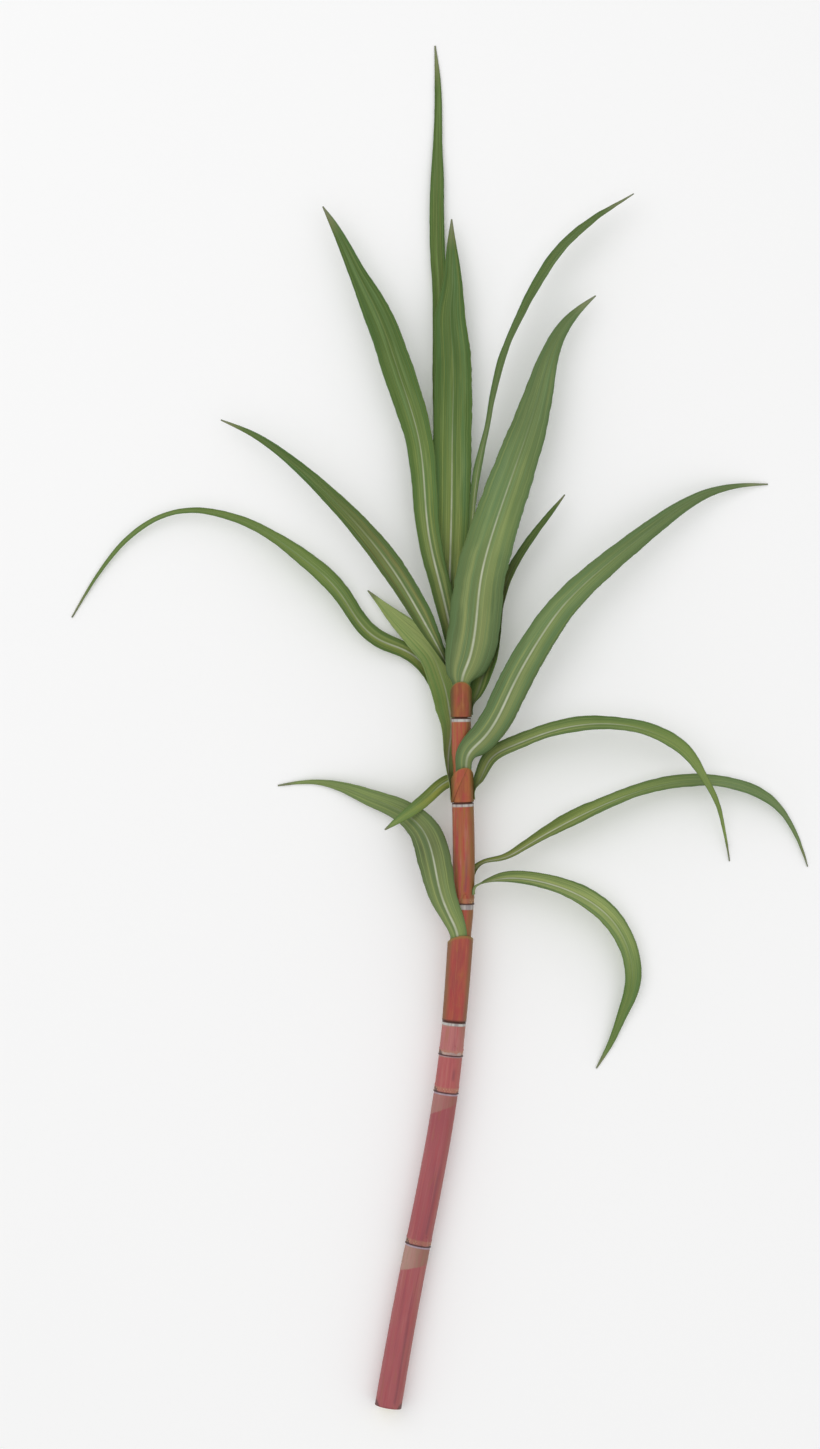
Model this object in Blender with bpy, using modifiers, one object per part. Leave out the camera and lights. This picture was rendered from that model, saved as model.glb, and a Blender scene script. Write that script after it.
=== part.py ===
"""A cut stalk of red sugarcane that lies on a surface, with its leaves.

Metres, +Z up. +Y runs from the cut butt to the tip of the tallest leaf. The surface is Z = 0,
and the origin is below the middle of the stalk's box.
"""
import math

import bmesh
import bpy
import numpy as np
from mathutils import Vector

# The cane: its two ends along the stalk, its thickness at the butt and how round its tube is
BUTT_Y = -0.989
CANE_TOP_Y = 0.085
BUTT_RADIUS = 0.0196
BUTT_CHAMFER = 0.0008
CANE_BEVEL = 8
# The block below the surface that cuts the cane flat where it lies
FLOOR_BLOCK = (0.4, 2.4, 0.1)

# Axis of the cane: along the stalk, sideways and height, from butt to crown
AXIS_Y = (-0.989, -0.870, -0.753, -0.531, -0.339, -0.200, -0.050, 0.085)
AXIS_X = (-0.0754, -0.0545, -0.0319, 0.0087, 0.0276, 0.0342, 0.0312, 0.0305)
AXIS_Z = (0.0187, 0.0186, 0.0203, 0.0265, 0.0340, 0.0400, 0.0450, 0.0480)

# The nodes whose leaf has dropped: place along the stalk and side of the bud in degrees
BARE_NODES = ((-0.753, 60), (-0.531, 250), (-0.477, 75), (-0.257, 80))
# The nodes that a sheath still grows from
LOWER_NODE, UPPER_NODE, CROWN_NODE = -0.429, -0.112, 0.011
# Thickness of the cane between its nodes, thinner where a sheath covers it
STEP = 0.0006
RADIUS_Y = (-0.989, -0.753, -0.531, LOWER_NODE + STEP, LOWER_NODE + 2 * STEP, -0.300, -0.275, -0.257,
            UPPER_NODE + STEP, UPPER_NODE + 2 * STEP, -0.056, -0.040, CROWN_NODE + STEP,
            CROWN_NODE + 2 * STEP, 0.085)
RADIUS = (0.0196, 0.0182, 0.0176, 0.0172, 0.0152, 0.0150, 0.0162, 0.0163,
          0.0157, 0.0128, 0.0128, 0.0144, 0.0140,
          0.0094, 0.0088)

SCAR_RISE = 0.0009
RING_RISE = 0.0004
WAX_SINK = 0.0004
# Rings of one node: distance above the leaf scar, and how far the surface stands out
NODE_RINGS = (
    (-0.0180, 0.0), (-0.0030, -WAX_SINK), (-0.0008, SCAR_RISE), (0.0008, SCAR_RISE),
    (0.0020, 0.0002), (0.0078, RING_RISE), (0.0100, RING_RISE), (0.0130, 0.0),
)
RINGS_UNDER_SHEATH = 3
# A bud: how far above the scar its middle is, half its length, half its width and its height
BUD_MIDDLE = 0.0060
BUD_LENGTH = 0.0100
BUD_WIDTH = 0.0070
BUD_RISE = 0.0022

# The sheaths and blades
SHEATH_WALL = 0.0011
FOOT_GAP = 0.0018
SHEATH_SIDES = 24
SHEATH_RINGS = 5
# Inner radius of each sheath at its foot and at its mouth
CROWN_SHEATH = (0.0142, 0.0146)
UPPER_SHEATH = (0.0151, 0.0155)
LOWER_SHEATH = (0.0166, 0.0175)
SPINDLE_RADIUS = 0.0080
SPINDLE_TIP = 0.0020
SPINDLE_LENGTH = 0.105
SPINDLE_GAP = 0.0004
BLADE_WALL = 0.0009
CLASP_GAP = 0.0005
# A blade that grows at so many degrees round the cane faces it with this roll less those degrees
FACING_CANE = 270
# A blade's two edges ripple out of step, from its foot to this share of its length
RIPPLE_LENGTH = 0.150
RIPPLE_LAG = 2.1
RIPPLE_END = 0.91
# Strips across a blade, rows along it, and how much closer the rows are near its foot
WIDE, NARROW = 8, 6
STATIONS = 26
CROWDING = 1.45
TIP_WIDTH = 0.0022
# How far on either side of a row the midrib's direction is taken
REACH = 0.002

collection = bpy.data.collections.new("sugarcane_stalk")
cutters = bpy.data.collections.new("cutters")


def clear_scene():
    for old in list(bpy.data.objects):
        bpy.data.objects.remove(old, do_unlink=True)
    bpy.context.scene.collection.children.link(collection)
    bpy.context.scene.collection.children.link(cutters)


def material(name, colour, roughness):
    mat = bpy.data.materials.new(name)
    mat.use_nodes = True
    shader = mat.node_tree.nodes["Principled BSDF"]
    shader.inputs["Base Color"].default_value = (*colour, 1.0)
    shader.inputs["Roughness"].default_value = roughness
    shader.inputs["Metallic"].default_value = 0.0
    return mat


def smooth_curve(at, known_at, values):
    """Natural cubic spline: the values at the places in at, through the known ones."""
    knots, rows = np.asarray(known_at, float), np.asarray(values, float)
    gaps = np.diff(knots)
    count = len(knots)
    system, right = np.eye(count), np.zeros_like(rows)
    for i in range(1, count - 1):
        system[i, i - 1:i + 2] = gaps[i - 1], 2 * (gaps[i - 1] + gaps[i]), gaps[i]
        right[i] = 6 * ((rows[i + 1] - rows[i]) / gaps[i] - (rows[i] - rows[i - 1]) / gaps[i - 1])
    bend = np.linalg.solve(system, right)
    at = np.asarray(at, float)
    span = np.clip(np.searchsorted(knots, at, side="right") - 1, 0, count - 2)
    gap = gaps[span]
    after = (at - knots[span]) / gap
    before = 1 - after
    if rows.ndim == 2:
        after, before, gap = after[:, None], before[:, None], gap[:, None]
    curve = (before ** 3 - before) * bend[span] + (after ** 3 - after) * bend[span + 1]
    return before * rows[span] + after * rows[span + 1] + curve * gap ** 2 / 6


def steady_curve(at, known_at, values):
    """Smooth values at the places in at, which never swing past the known ones."""
    knots, rows = np.asarray(known_at, float), np.asarray(values, float)
    rises = np.diff(rows, axis=0) / np.diff(knots)[:, None]
    slopes = np.zeros_like(rows)
    product = rises[:-1] * rises[1:]
    slopes[1:-1] = np.where(product > 0, 2 * product / (rises[:-1] + rises[1:] + 1e-12), 0.0)
    slopes[0], slopes[-1] = rises[0], rises[-1]
    span = np.clip(np.searchsorted(knots, at, side="right") - 1, 0, len(knots) - 2)
    gap = np.diff(knots)[span][:, None]
    t = (np.asarray(at) - knots[span])[:, None] / gap
    rest = rows[span + 1] * t ** 2 * (3 - 2 * t) + rows[span] * (1 - t) ** 2 * (1 + 2 * t)
    return rest + gap * (slopes[span] * t * (1 - t) ** 2 - slopes[span + 1] * t ** 2 * (1 - t))


def axis_point(y):
    """The middle of the cane at a place along the stalk."""
    x, z = smooth_curve([y], AXIS_Y, np.column_stack((AXIS_X, AXIS_Z)))[0]
    return np.array((x, y, z))


def axis_frame(y):
    """The middle of the cane, and the two directions square to it: to the right, and up."""
    forward = Vector(axis_point(y + 0.001) - axis_point(y - 0.001)).normalized()
    right = forward.cross(Vector((0.0, 0.0, 1.0))).normalized()
    return Vector(axis_point(y)), right, right.cross(forward)


def cane_radius(y):
    return float(np.interp(y, RADIUS_Y, RADIUS))


def around(y, degrees, radius):
    """A point at a distance from the cane's axis: 0 degrees is +X, 90 is up."""
    middle, right, up = axis_frame(y)
    angle = math.radians(degrees)
    return middle + radius * (math.cos(angle) * right + math.sin(angle) * up)


def add_object(name, mesh, mat):
    obj = bpy.data.objects.new(name, mesh)
    obj.data.materials.append(mat)
    collection.objects.link(obj)
    return obj


def add_boolean(obj, cutter, operation):
    modifier = obj.modifiers.new(operation.title(), "BOOLEAN")
    modifier.operation = operation
    modifier.solver = "EXACT"
    modifier.object = cutter
    cutter.hide_render = True
    cutter.display_type = "WIRE"
    cutters.objects.link(cutter)


def cane_stations():
    """Places along the stalk where the cane has a ring, each with its radius."""
    places = {BUTT_Y: BUTT_RADIUS - BUTT_CHAMFER, BUTT_Y + BUTT_CHAMFER: BUTT_RADIUS}
    places[CANE_TOP_Y] = RADIUS[-1]
    for y in (-0.93, -0.87, -0.82, -0.68, -0.61, -0.370, -0.345, *RADIUS_Y[4:7], -0.200, -0.155,
              *RADIUS_Y[9:12], -0.020, RADIUS_Y[13], 0.045):
        places[y] = cane_radius(y)
    for node_y, _ in BARE_NODES:
        for rise, step in NODE_RINGS:
            places[node_y + rise] = cane_radius(node_y + rise) + step
    for node_y in (LOWER_NODE, UPPER_NODE, CROWN_NODE):
        for rise, step in NODE_RINGS[:RINGS_UNDER_SHEATH]:
            places[node_y + rise] = cane_radius(node_y + rise) + step
        places[node_y + STEP] = cane_radius(node_y + STEP) + SCAR_RISE
    return sorted(places.items())


def make_cane(mat):
    """A tube along the axis whose radius follows the nodes, with buds, and flat where it lies."""
    stations = cane_stations()
    curve = bpy.data.curves.new("cane_curve", "CURVE")
    curve.dimensions = "3D"
    curve.bevel_depth = 1.0
    curve.bevel_resolution = CANE_BEVEL
    curve.use_fill_caps = True
    spline = curve.splines.new("POLY")
    spline.points.add(len(stations) - 1)
    for point, (y, radius) in zip(spline.points, stations):
        point.co = (*axis_point(y), 1.0)
        point.radius = radius
    path = bpy.data.objects.new("cane_path", curve)
    collection.objects.link(path)
    depsgraph = bpy.context.evaluated_depsgraph_get()
    mesh = bpy.data.meshes.new_from_object(path.evaluated_get(depsgraph))
    bpy.data.objects.remove(path, do_unlink=True)
    work = bmesh.new()
    work.from_mesh(mesh)
    bmesh.ops.remove_doubles(work, verts=work.verts, dist=0.00001)
    raise_buds(work)
    work.to_mesh(mesh)
    work.free()
    mesh.shade_smooth()
    cane = add_object("culm", mesh, mat)
    cutter_mesh = bpy.data.meshes.new("floor_cutter")
    work = bmesh.new()
    bmesh.ops.create_cube(work, size=1.0)
    bmesh.ops.scale(work, vec=FLOOR_BLOCK, verts=work.verts)
    bmesh.ops.translate(work, vec=(0.0, 0.0, -FLOOR_BLOCK[2] / 2), verts=work.verts)
    work.to_mesh(cutter_mesh)
    work.free()
    add_boolean(cane, bpy.data.objects.new("floor_cutter", cutter_mesh), "DIFFERENCE")


def raise_buds(work):
    """Push the cane's surface out in a small pointed mound above each leaf scar."""
    for vert in work.verts:
        for node_y, side in BARE_NODES:
            along = (vert.co.y - node_y - BUD_MIDDLE) / BUD_LENGTH
            if abs(along) > 1:
                continue
            middle = Vector(axis_point(vert.co.y))
            out = vert.co - middle
            turn = math.degrees(math.atan2(out.z, out.x)) - side
            turn = math.radians((turn + 180) % 360 - 180)
            across = turn * cane_radius(vert.co.y) / BUD_WIDTH
            if abs(across) < 1:
                rise = BUD_RISE * math.cos(along * math.pi / 2) * math.cos(across * math.pi / 2)
                vert.co += out.normalized() * rise


def make_sheath(name, low_y, high_y, radii, lip, lip_side, mat):
    """A leaf sheath: an open tube round the cane, with a rounded lip that is highest on one side."""
    mesh = bpy.data.meshes.new(name)
    work = bmesh.new()
    rows = []
    for ring in range(SHEATH_RINGS + 1):
        share = ring / SHEATH_RINGS
        row = []
        for side in range(SHEATH_SIDES):
            degrees = 360 * side / SHEATH_SIDES
            far = math.radians(degrees - lip_side)
            top = high_y - lip * (1 - math.cos(far)) / 2
            y = low_y + (top - low_y) * share
            radius = radii[0] + (radii[1] - radii[0]) * share
            row.append(work.verts.new(around(y, degrees, radius)))
        rows.append(row)
    for low, high in zip(rows, rows[1:]):
        for side in range(SHEATH_SIDES):
            after = (side + 1) % SHEATH_SIDES
            work.faces.new((low[after], low[side], high[side], high[after]))
    bmesh.ops.triangulate(work, faces=work.faces)
    work.to_mesh(mesh)
    work.free()
    mesh.shade_smooth()
    thicken(add_object(name, mesh, mat), SHEATH_WALL, 1.0)


def thicken(obj, wall, offset):
    modifier = obj.modifiers.new("Wall", "SOLIDIFY")
    modifier.thickness = wall
    modifier.offset = offset
    modifier.use_even_offset = False


def clasp(y, degrees, layer, wrap):
    """A blade's station that hugs the cane: layer 0 is next to it, wrap is half the angle."""
    radius = cane_radius(y) + CLASP_GAP + BLADE_WALL / 2 + layer * (CLASP_GAP + BLADE_WALL)
    width = 2 * radius * math.radians(wrap)
    return (*around(y, degrees, radius), width, FACING_CANE - degrees, math.radians(wrap))


def outside(y, degrees, sheath, wrap):
    """A station that hugs a sheath from outside."""
    radius = sheath[1] + SHEATH_WALL + 1.5 * CLASP_GAP + BLADE_WALL / 2
    width = 2 * radius * math.radians(wrap)
    return (*around(y, degrees, radius), width, FACING_CANE - degrees, math.radians(wrap))


def make_blade(name, stations, strips, ripple, mat):
    """A leaf blade. Each station: x, y, z of the midrib, width, roll in degrees, curl in radians."""
    rows = np.array(stations, float)
    steps = np.linalg.norm(np.diff(rows[:, :3], axis=0), axis=1)
    known_at = np.concatenate(([0.0], np.cumsum(steps)))
    length = known_at[-1]
    share = np.linspace(0, 1, STATIONS) ** CROWDING
    at = share * length
    middles = smooth_curve(at, known_at, rows[:, :3])
    shaped = steady_curve(at, known_at, rows[:, 3:])
    ahead = smooth_curve(np.minimum(at + REACH, length), known_at, rows[:, :3])
    behind = smooth_curve(np.maximum(at - REACH, 0), known_at, rows[:, :3])
    work = bmesh.new()
    grid = []
    for i in range(STATIONS):
        width, roll, curl = max(shaped[i, 0], TIP_WIDTH), math.radians(shaped[i, 1]), shaped[i, 2]
        forward = Vector(ahead[i] - behind[i]).normalized()
        up = Vector((0, 0, 1))
        up = (up - forward * up.dot(forward)).normalized()
        side = forward.cross(up)
        face = up * math.cos(roll) + side * math.sin(roll)
        side = forward.cross(face)
        radius = width / 2 / curl
        swell = math.sin(math.pi * min(share[i] / RIPPLE_END, 1.0)) ** 0.7
        line = []
        for step in range(strips + 1):
            across = 2 * step / strips - 1
            wave = math.sin(2 * math.pi * at[i] / RIPPLE_LENGTH + (0.0 if across < 0 else RIPPLE_LAG))
            rise = radius * (1 - math.cos(curl * across)) + ripple * swell * wave * across ** 2
            place = Vector(middles[i]) + side * radius * math.sin(curl * across) + face * rise
            line.append(work.verts.new(place))
        grid.append(line)
    for low, high in zip(grid, grid[1:]):
        for step in range(strips):
            work.faces.new((low[step], high[step], high[step + 1]))
            work.faces.new((low[step], high[step + 1], low[step + 1]))
    mesh = bpy.data.meshes.new(name)
    work.to_mesh(mesh)
    work.free()
    mesh.shade_smooth()
    thicken(add_object(name, mesh, mat), BLADE_WALL, 0.0)


def make_crown(leaf):
    """The leaves that leave the cane inside and beside the sheath at the foot of the crown."""
    make_blade("blade_front", (
        clasp(0.015, 88, 2, 80), clasp(0.036, 88, 2, 80), clasp(0.058, 88, 2, 80),
        (0.0325, 0.071, 0.0625, 0.055, 188, 1.02), (0.0395, 0.090, 0.0650, 0.073, 190, 0.78),
        (0.048, 0.123, 0.067, 0.081, 188, 0.68), (0.059, 0.215, 0.068, 0.076, 184, 0.56),
        (0.073, 0.270, 0.066, 0.071, 180, 0.48), (0.113, 0.387, 0.058, 0.060, 180, 0.38),
        (0.142, 0.478, 0.049, 0.043, 180, 0.30), (0.158, 0.535, 0.042, 0.028, 180, 0.25),
        (0.186, 0.587, 0.035, 0.016, 180, 0.20), (0.226, 0.624, 0.028, 0.002, 180, 0.15),
    ), WIDE, 0.0015, leaf)
    make_blade("blade_left_front", (
        clasp(0.018, 188, 1, 27), clasp(0.038, 188, 1, 27), clasp(0.056, 189, 1, 26),
        (0.0132, 0.080, 0.0415, 0.012, 68, 0.40), (0.002, 0.104, 0.0475, 0.017, 42, 0.40),
        (-0.032, 0.166, 0.056, 0.034, 22, 0.50),
        (-0.062, 0.216, 0.058, 0.037, 15, 0.45), (-0.136, 0.308, 0.057, 0.028, 8, 0.35),
        (-0.207, 0.376, 0.048, 0.016, 5, 0.30), (-0.274, 0.424, 0.034, 0.008, 5, 0.20),
        (-0.318, 0.444, 0.024, 0.002, 5, 0.15),
    ), NARROW, 0.0010, leaf)
    make_blade("blade_left_upright", (
        clasp(0.020, 195, 0, 34), clasp(0.040, 195, 0, 34), clasp(0.060, 195, 0, 34),
        (0.0205, 0.106, 0.036, 0.022, 20, 0.45), (0.013, 0.150, 0.036, 0.027, 10, 0.40),
        (0.000, 0.205, 0.037, 0.031, 5, 0.38), (-0.016, 0.275, 0.038, 0.034, 4, 0.35),
        (-0.030, 0.412, 0.039, 0.040, 0, 0.35), (-0.056, 0.500, 0.040, 0.046, 0, 0.35),
        (-0.089, 0.592, 0.040, 0.041, 0, 0.30), (-0.122, 0.660, 0.038, 0.024, 0, 0.25),
        (-0.152, 0.722, 0.034, 0.012, 0, 0.20), (-0.170, 0.753, 0.031, 0.002, 0, 0.15),
    ), NARROW, 0.0012, leaf)
    make_blade("blade_thin_arch", (
        clasp(0.020, 330, 0, 38), clasp(0.040, 330, 0, 38), clasp(0.060, 330, 0, 38),
        (0.042, 0.120, 0.042, 0.018, -58, 0.50), (0.042, 0.200, 0.043, 0.018, -58, 0.35),
        (0.047, 0.300, 0.043, 0.018, -58, 0.30), (0.056, 0.376, 0.044, 0.018, -58, 0.30),
        (0.069, 0.434, 0.046, 0.016, -58, 0.30), (0.094, 0.542, 0.047, 0.018, -58, 0.30),
        (0.123, 0.605, 0.047, 0.023, -55, 0.30), (0.175, 0.690, 0.044, 0.024, -52, 0.25),
        (0.225, 0.735, 0.040, 0.015, -50, 0.20), (0.281, 0.771, 0.034, 0.002, -50, 0.15),
    ), NARROW, 0.0010, leaf)
    make_blade("blade_upright", (
        clasp(0.020, 270, 1, 36), clasp(0.040, 270, 1, 36), clasp(0.058, 270, 1, 36),
        (0.024, 0.106, 0.026, 0.024, 0, 0.50), (0.015, 0.175, 0.024, 0.037, 0, 0.42),
        (0.015, 0.250, 0.025, 0.052, 0, 0.38), (0.017, 0.330, 0.027, 0.056, 0, 0.35),
        (0.018, 0.430, 0.028, 0.057, 0, 0.35), (0.018, 0.545, 0.028, 0.052, 0, 0.32),
        (0.015, 0.599, 0.027, 0.043, 0, 0.30), (0.018, 0.640, 0.026, 0.030, 0, 0.28),
        (0.017, 0.697, 0.023, 0.014, 0, 0.22), (0.017, 0.736, 0.020, 0.002, 0, 0.15),
    ), NARROW, 0.0015, leaf)
    make_blade("blade_tallest", (
        clasp(0.020, 270, 2, 58), clasp(0.036, 270, 2, 58), clasp(0.052, 270, 2, 56),
        (0.026, 0.106, 0.0185, 0.025, 0, 0.70), (0.018, 0.200, 0.014, 0.025, 0, 0.55),
        (0.008, 0.330, 0.013, 0.025, 0, 0.45), (0.001, 0.500, 0.011, 0.024, 0, 0.40),
        (-0.001, 0.640, 0.009, 0.021, 0, 0.35), (-0.004, 0.706, 0.008, 0.022, 0, 0.32),
        (-0.004, 0.787, 0.006, 0.020, 0, 0.30), (-0.003, 0.854, 0.004, 0.013, 0, 0.25),
        (-0.003, 0.935, 0.002, 0.009, 0, 0.20), (-0.007, 0.991, 0.001, 0.002, 0, 0.15),
    ), NARROW, 0.0006, leaf)
    make_blade("blade_short_dark", (
        outside(0.016, 335, CROWN_SHEATH, 32), outside(0.026, 335, CROWN_SHEATH, 32),
        (0.0535, 0.046, 0.0365, 0.026, -42, 0.55), (0.061, 0.068, 0.0340, 0.034, -38, 0.50),
        (0.071, 0.098, 0.033, 0.036, -38, 0.45), (0.080, 0.135, 0.035, 0.028, -42, 0.40),
        (0.0885, 0.180, 0.038, 0.018, -48, 0.35), (0.101, 0.220, 0.040, 0.017, -45, 0.30),
        (0.126, 0.263, 0.040, 0.015, -40, 0.25), (0.162, 0.311, 0.035, 0.008, -35, 0.20),
        (0.181, 0.335, 0.032, 0.002, -35, 0.15),
    ), NARROW, 0.0008, leaf)


def make_upper_leaves(leaf):
    """The leaves of the node below the crown: one in front, one to the right, three to the left."""
    make_blade("blade_right_broad", (
        clasp(-0.107, 66, 0.25, 60), clasp(-0.086, 66, 0.25, 64), clasp(-0.060, 65, 0.25, 66),
        (0.0400, -0.043, 0.0625, 0.038, 198, 0.95), (0.059, -0.021, 0.0665, 0.045, 191, 0.68),
        (0.102, 0.052, 0.067, 0.049, 180, 0.55), (0.146, 0.130, 0.067, 0.045, 180, 0.42),
        (0.173, 0.168, 0.065, 0.041, 180, 0.38), (0.233, 0.227, 0.058, 0.034, 180, 0.35),
        (0.296, 0.278, 0.047, 0.027, 180, 0.30), (0.345, 0.314, 0.036, 0.020, 180, 0.25),
        (0.380, 0.334, 0.027, 0.014, 180, 0.20), (0.432, 0.349, 0.012, 0.007, 180, 0.15),
        (0.478, 0.352, 0.001, 0.002, 180, 0.15),
    ), WIDE, 0.0013, leaf)
    make_blade("blade_upper_arch", (
        outside(-0.107, 347, UPPER_SHEATH, 26), outside(-0.096, 347, UPPER_SHEATH, 26),
        (0.0580, -0.078, 0.038, 0.026, -56, 0.50), (0.0735, -0.048, 0.039, 0.033, -52, 0.45),
        (0.107, -0.028, 0.042, 0.036, -52, 0.42), (0.157, -0.009, 0.048, 0.034, -52, 0.38),
        (0.239, 0.003, 0.053, 0.032, -52, 0.35), (0.316, -0.013, 0.054, 0.030, -48, 0.30),
        (0.353, -0.036, 0.054, 0.026, -45, 0.25), (0.380, -0.072, 0.050, 0.016, -40, 0.22),
        (0.401, -0.112, 0.037, 0.009, -35, 0.20), (0.413, -0.151, 0.015, 0.005, -30, 0.18),
        (0.422, -0.197, 0.001, 0.002, -30, 0.15),
    ), NARROW, 0.0010, leaf)
    make_blade("blade_left_arch", (
        outside(-0.107, 294, UPPER_SHEATH, 22), outside(-0.096, 294, UPPER_SHEATH, 22),
        (0.0335, -0.070, 0.0140, 0.020, 4, 0.32), (0.0235, -0.032, 0.0108, 0.026, 10, 0.35),
        (0.0165, 0.006, 0.0095, 0.026, 10, 0.32), (0.0080, 0.036, 0.0090, 0.026, 10, 0.30),
        (-0.0080, 0.068, 0.0090, 0.025, 12, 0.30), (-0.0290, 0.095, 0.0100, 0.025, 14, 0.30),
        (-0.0560, 0.112, 0.0130, 0.025, 18, 0.32), (-0.0860, 0.124, 0.0180, 0.027, 26, 0.34),
        (-0.1080, 0.140, 0.0240, 0.030, 34, 0.34), (-0.145, 0.192, 0.032, 0.034, 40, 0.34),
        (-0.206, 0.248, 0.034, 0.029, 40, 0.32), (-0.262, 0.286, 0.030, 0.018, 38, 0.28),
        (-0.322, 0.308, 0.024, 0.012, 34, 0.25), (-0.382, 0.311, 0.018, 0.009, 30, 0.22),
        (-0.435, 0.288, 0.012, 0.008, 25, 0.20), (-0.486, 0.237, 0.006, 0.006, 20, 0.18),
        (-0.536, 0.158, 0.001, 0.002, 15, 0.15),
    ), NARROW, 0.0010, leaf)
    make_blade("blade_left_broad", (
        outside(-0.107, 194, UPPER_SHEATH, 26), outside(-0.096, 194, UPPER_SHEATH, 26),
        (0.0120, -0.066, 0.0350, 0.026, 62, 0.50), (0.0128, -0.035, 0.0292, 0.031, 43, 0.50),
        (0.0165, 0.000, 0.0248, 0.037, 25, 0.42), (0.0128, 0.028, 0.0220, 0.044, 16, 0.36),
        (0.0080, 0.052, 0.0205, 0.045, 12, 0.34), (0.0003, 0.076, 0.0200, 0.044, 10, 0.32),
        (-0.0100, 0.101, 0.0200, 0.042, 8, 0.30), (-0.0276, 0.122, 0.0200, 0.038, 8, 0.28),
        (-0.050, 0.143, 0.019, 0.030, 8, 0.26), (-0.070, 0.162, 0.017, 0.020, 8, 0.22),
        (-0.088, 0.180, 0.015, 0.010, 8, 0.20), (-0.105, 0.197, 0.012, 0.002, 8, 0.15),
    ), NARROW, 0.0010, leaf)
    make_blade("blade_left_down", (
        clasp(-0.048, 270, 0.3, 24), clasp(-0.056, 270, 0.8, 23),
        (0.0262, -0.0710, 0.0228, 0.013, 0, 0.22), (0.0087, -0.0815, 0.0208, 0.019, 0, 0.22),
        (-0.0164, -0.102, 0.0330, 0.019, 0, 0.22), (-0.0413, -0.122, 0.0490, 0.017, 0, 0.22),
        (-0.062, -0.137, 0.057, 0.010, 0, 0.20), (-0.080, -0.150, 0.060, 0.002, 0, 0.15),
    ), NARROW, 0.0004, leaf)


def make_lower_leaves(leaf):
    """The two right leaves of the bare node, and the left leaf of the lower sheath."""
    make_blade("blade_long_arch", (
        clasp(-0.243, 300, 0.1, 28), clasp(-0.232, 302, 0.1, 28), clasp(-0.221, 306, 0.1, 28),
        (0.062, -0.199, 0.0225, 0.013, -66, 0.45), (0.088, -0.193, 0.024, 0.017, -64, 0.42),
        (0.119, -0.178, 0.027, 0.0235, -58, 0.40), (0.145, -0.162, 0.030, 0.0285, -56, 0.38),
        (0.200, -0.132, 0.034, 0.034, -54, 0.36), (0.302, -0.091, 0.030, 0.030, -54, 0.34),
        (0.390, -0.080, 0.023, 0.028, -52, 0.32), (0.439, -0.089, 0.021, 0.026, -50, 0.28),
        (0.482, -0.110, 0.015, 0.018, -45, 0.25), (0.507, -0.138, 0.009, 0.010, -40, 0.20),
        (0.536, -0.205, 0.001, 0.002, -35, 0.15),
    ), NARROW, 0.0010, leaf)
    make_blade("blade_low_arch", (
        clasp(-0.243, 375, 0.2, 24), clasp(-0.236, 375, 0.2, 24),
        (0.068, -0.226, 0.044, 0.022, -80, 0.42), (0.093, -0.221, 0.044, 0.028, -62, 0.45),
        (0.126, -0.222, 0.045, 0.032, -54, 0.40), (0.163, -0.230, 0.045, 0.036, -50, 0.36),
        (0.208, -0.249, 0.041, 0.038, -44, 0.34), (0.250, -0.283, 0.034, 0.037, -38, 0.32),
        (0.274, -0.328, 0.026, 0.033, -34, 0.30), (0.278, -0.380, 0.018, 0.026, -30, 0.26),
        (0.265, -0.420, 0.012, 0.017, -28, 0.22), (0.249, -0.460, 0.006, 0.010, -25, 0.20),
        (0.228, -0.499, 0.001, 0.002, -20, 0.15),
    ), NARROW, 0.0010, leaf)
    make_blade("blade_left_low", (
        clasp(-0.352, 106, 0.2, 46), clasp(-0.327, 106, 0.2, 46), clasp(-0.305, 106, 0.2, 50),
        (0.0140, -0.274, 0.0585, 0.038, 158, 0.76), (0.0007, -0.240, 0.060, 0.045, 166, 0.62),
        (-0.010, -0.190, 0.060, 0.051, 172, 0.50), (-0.024, -0.152, 0.050, 0.046, 172, 0.42),
        (-0.052, -0.126, 0.033, 0.036, 170, 0.38), (-0.106, -0.103, 0.019, 0.025, 165, 0.32),
        (-0.140, -0.090, 0.012, 0.016, 165, 0.28), (-0.178, -0.082, 0.006, 0.008, 165, 0.22),
        (-0.236, -0.087, 0.001, 0.002, 170, 0.15),
    ), WIDE, 0.0010, leaf)


def make_spindle(mat):
    """The rolled young leaves: a long cone that goes on from the end of the cane."""
    bpy.ops.mesh.primitive_cone_add(
        vertices=12, radius1=SPINDLE_RADIUS, radius2=SPINDLE_TIP, depth=SPINDLE_LENGTH)
    cone = bpy.context.object
    start = axis_point(CANE_TOP_Y + SPINDLE_GAP)
    cone.name = "spindle"
    cone.rotation_euler = (-math.pi / 2, 0.0, 0.0)
    cone.location = (start[0], start[1] + SPINDLE_LENGTH / 2, start[2])
    for owner in list(cone.users_collection):
        owner.objects.unlink(cone)
    collection.objects.link(cone)
    cone.data.materials.append(mat)
    cone.data.shade_smooth()


def main():
    clear_scene()
    red = material("red cane", (0.33, 0.09, 0.07), 0.45)
    sheath_red = material("red sheath", (0.36, 0.08, 0.05), 0.5)
    leaf = material("green leaf", (0.13, 0.25, 0.06), 0.55)
    young = material("pale green spindle", (0.30, 0.38, 0.12), 0.5)
    make_cane(red)
    make_sheath("sheath_crown", CROWN_NODE + FOOT_GAP, 0.064, CROWN_SHEATH, 0.032, 90, sheath_red)
    make_sheath("sheath_upper", UPPER_NODE + FOOT_GAP, -0.060, UPPER_SHEATH, 0.034, 75, sheath_red)
    make_sheath("sheath_lower", LOWER_NODE + FOOT_GAP, -0.302, LOWER_SHEATH, 0.020, 70, sheath_red)
    make_spindle(young)
    make_crown(leaf)
    make_upper_leaves(leaf)
    make_lower_leaves(leaf)


main()
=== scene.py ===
import math

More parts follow.
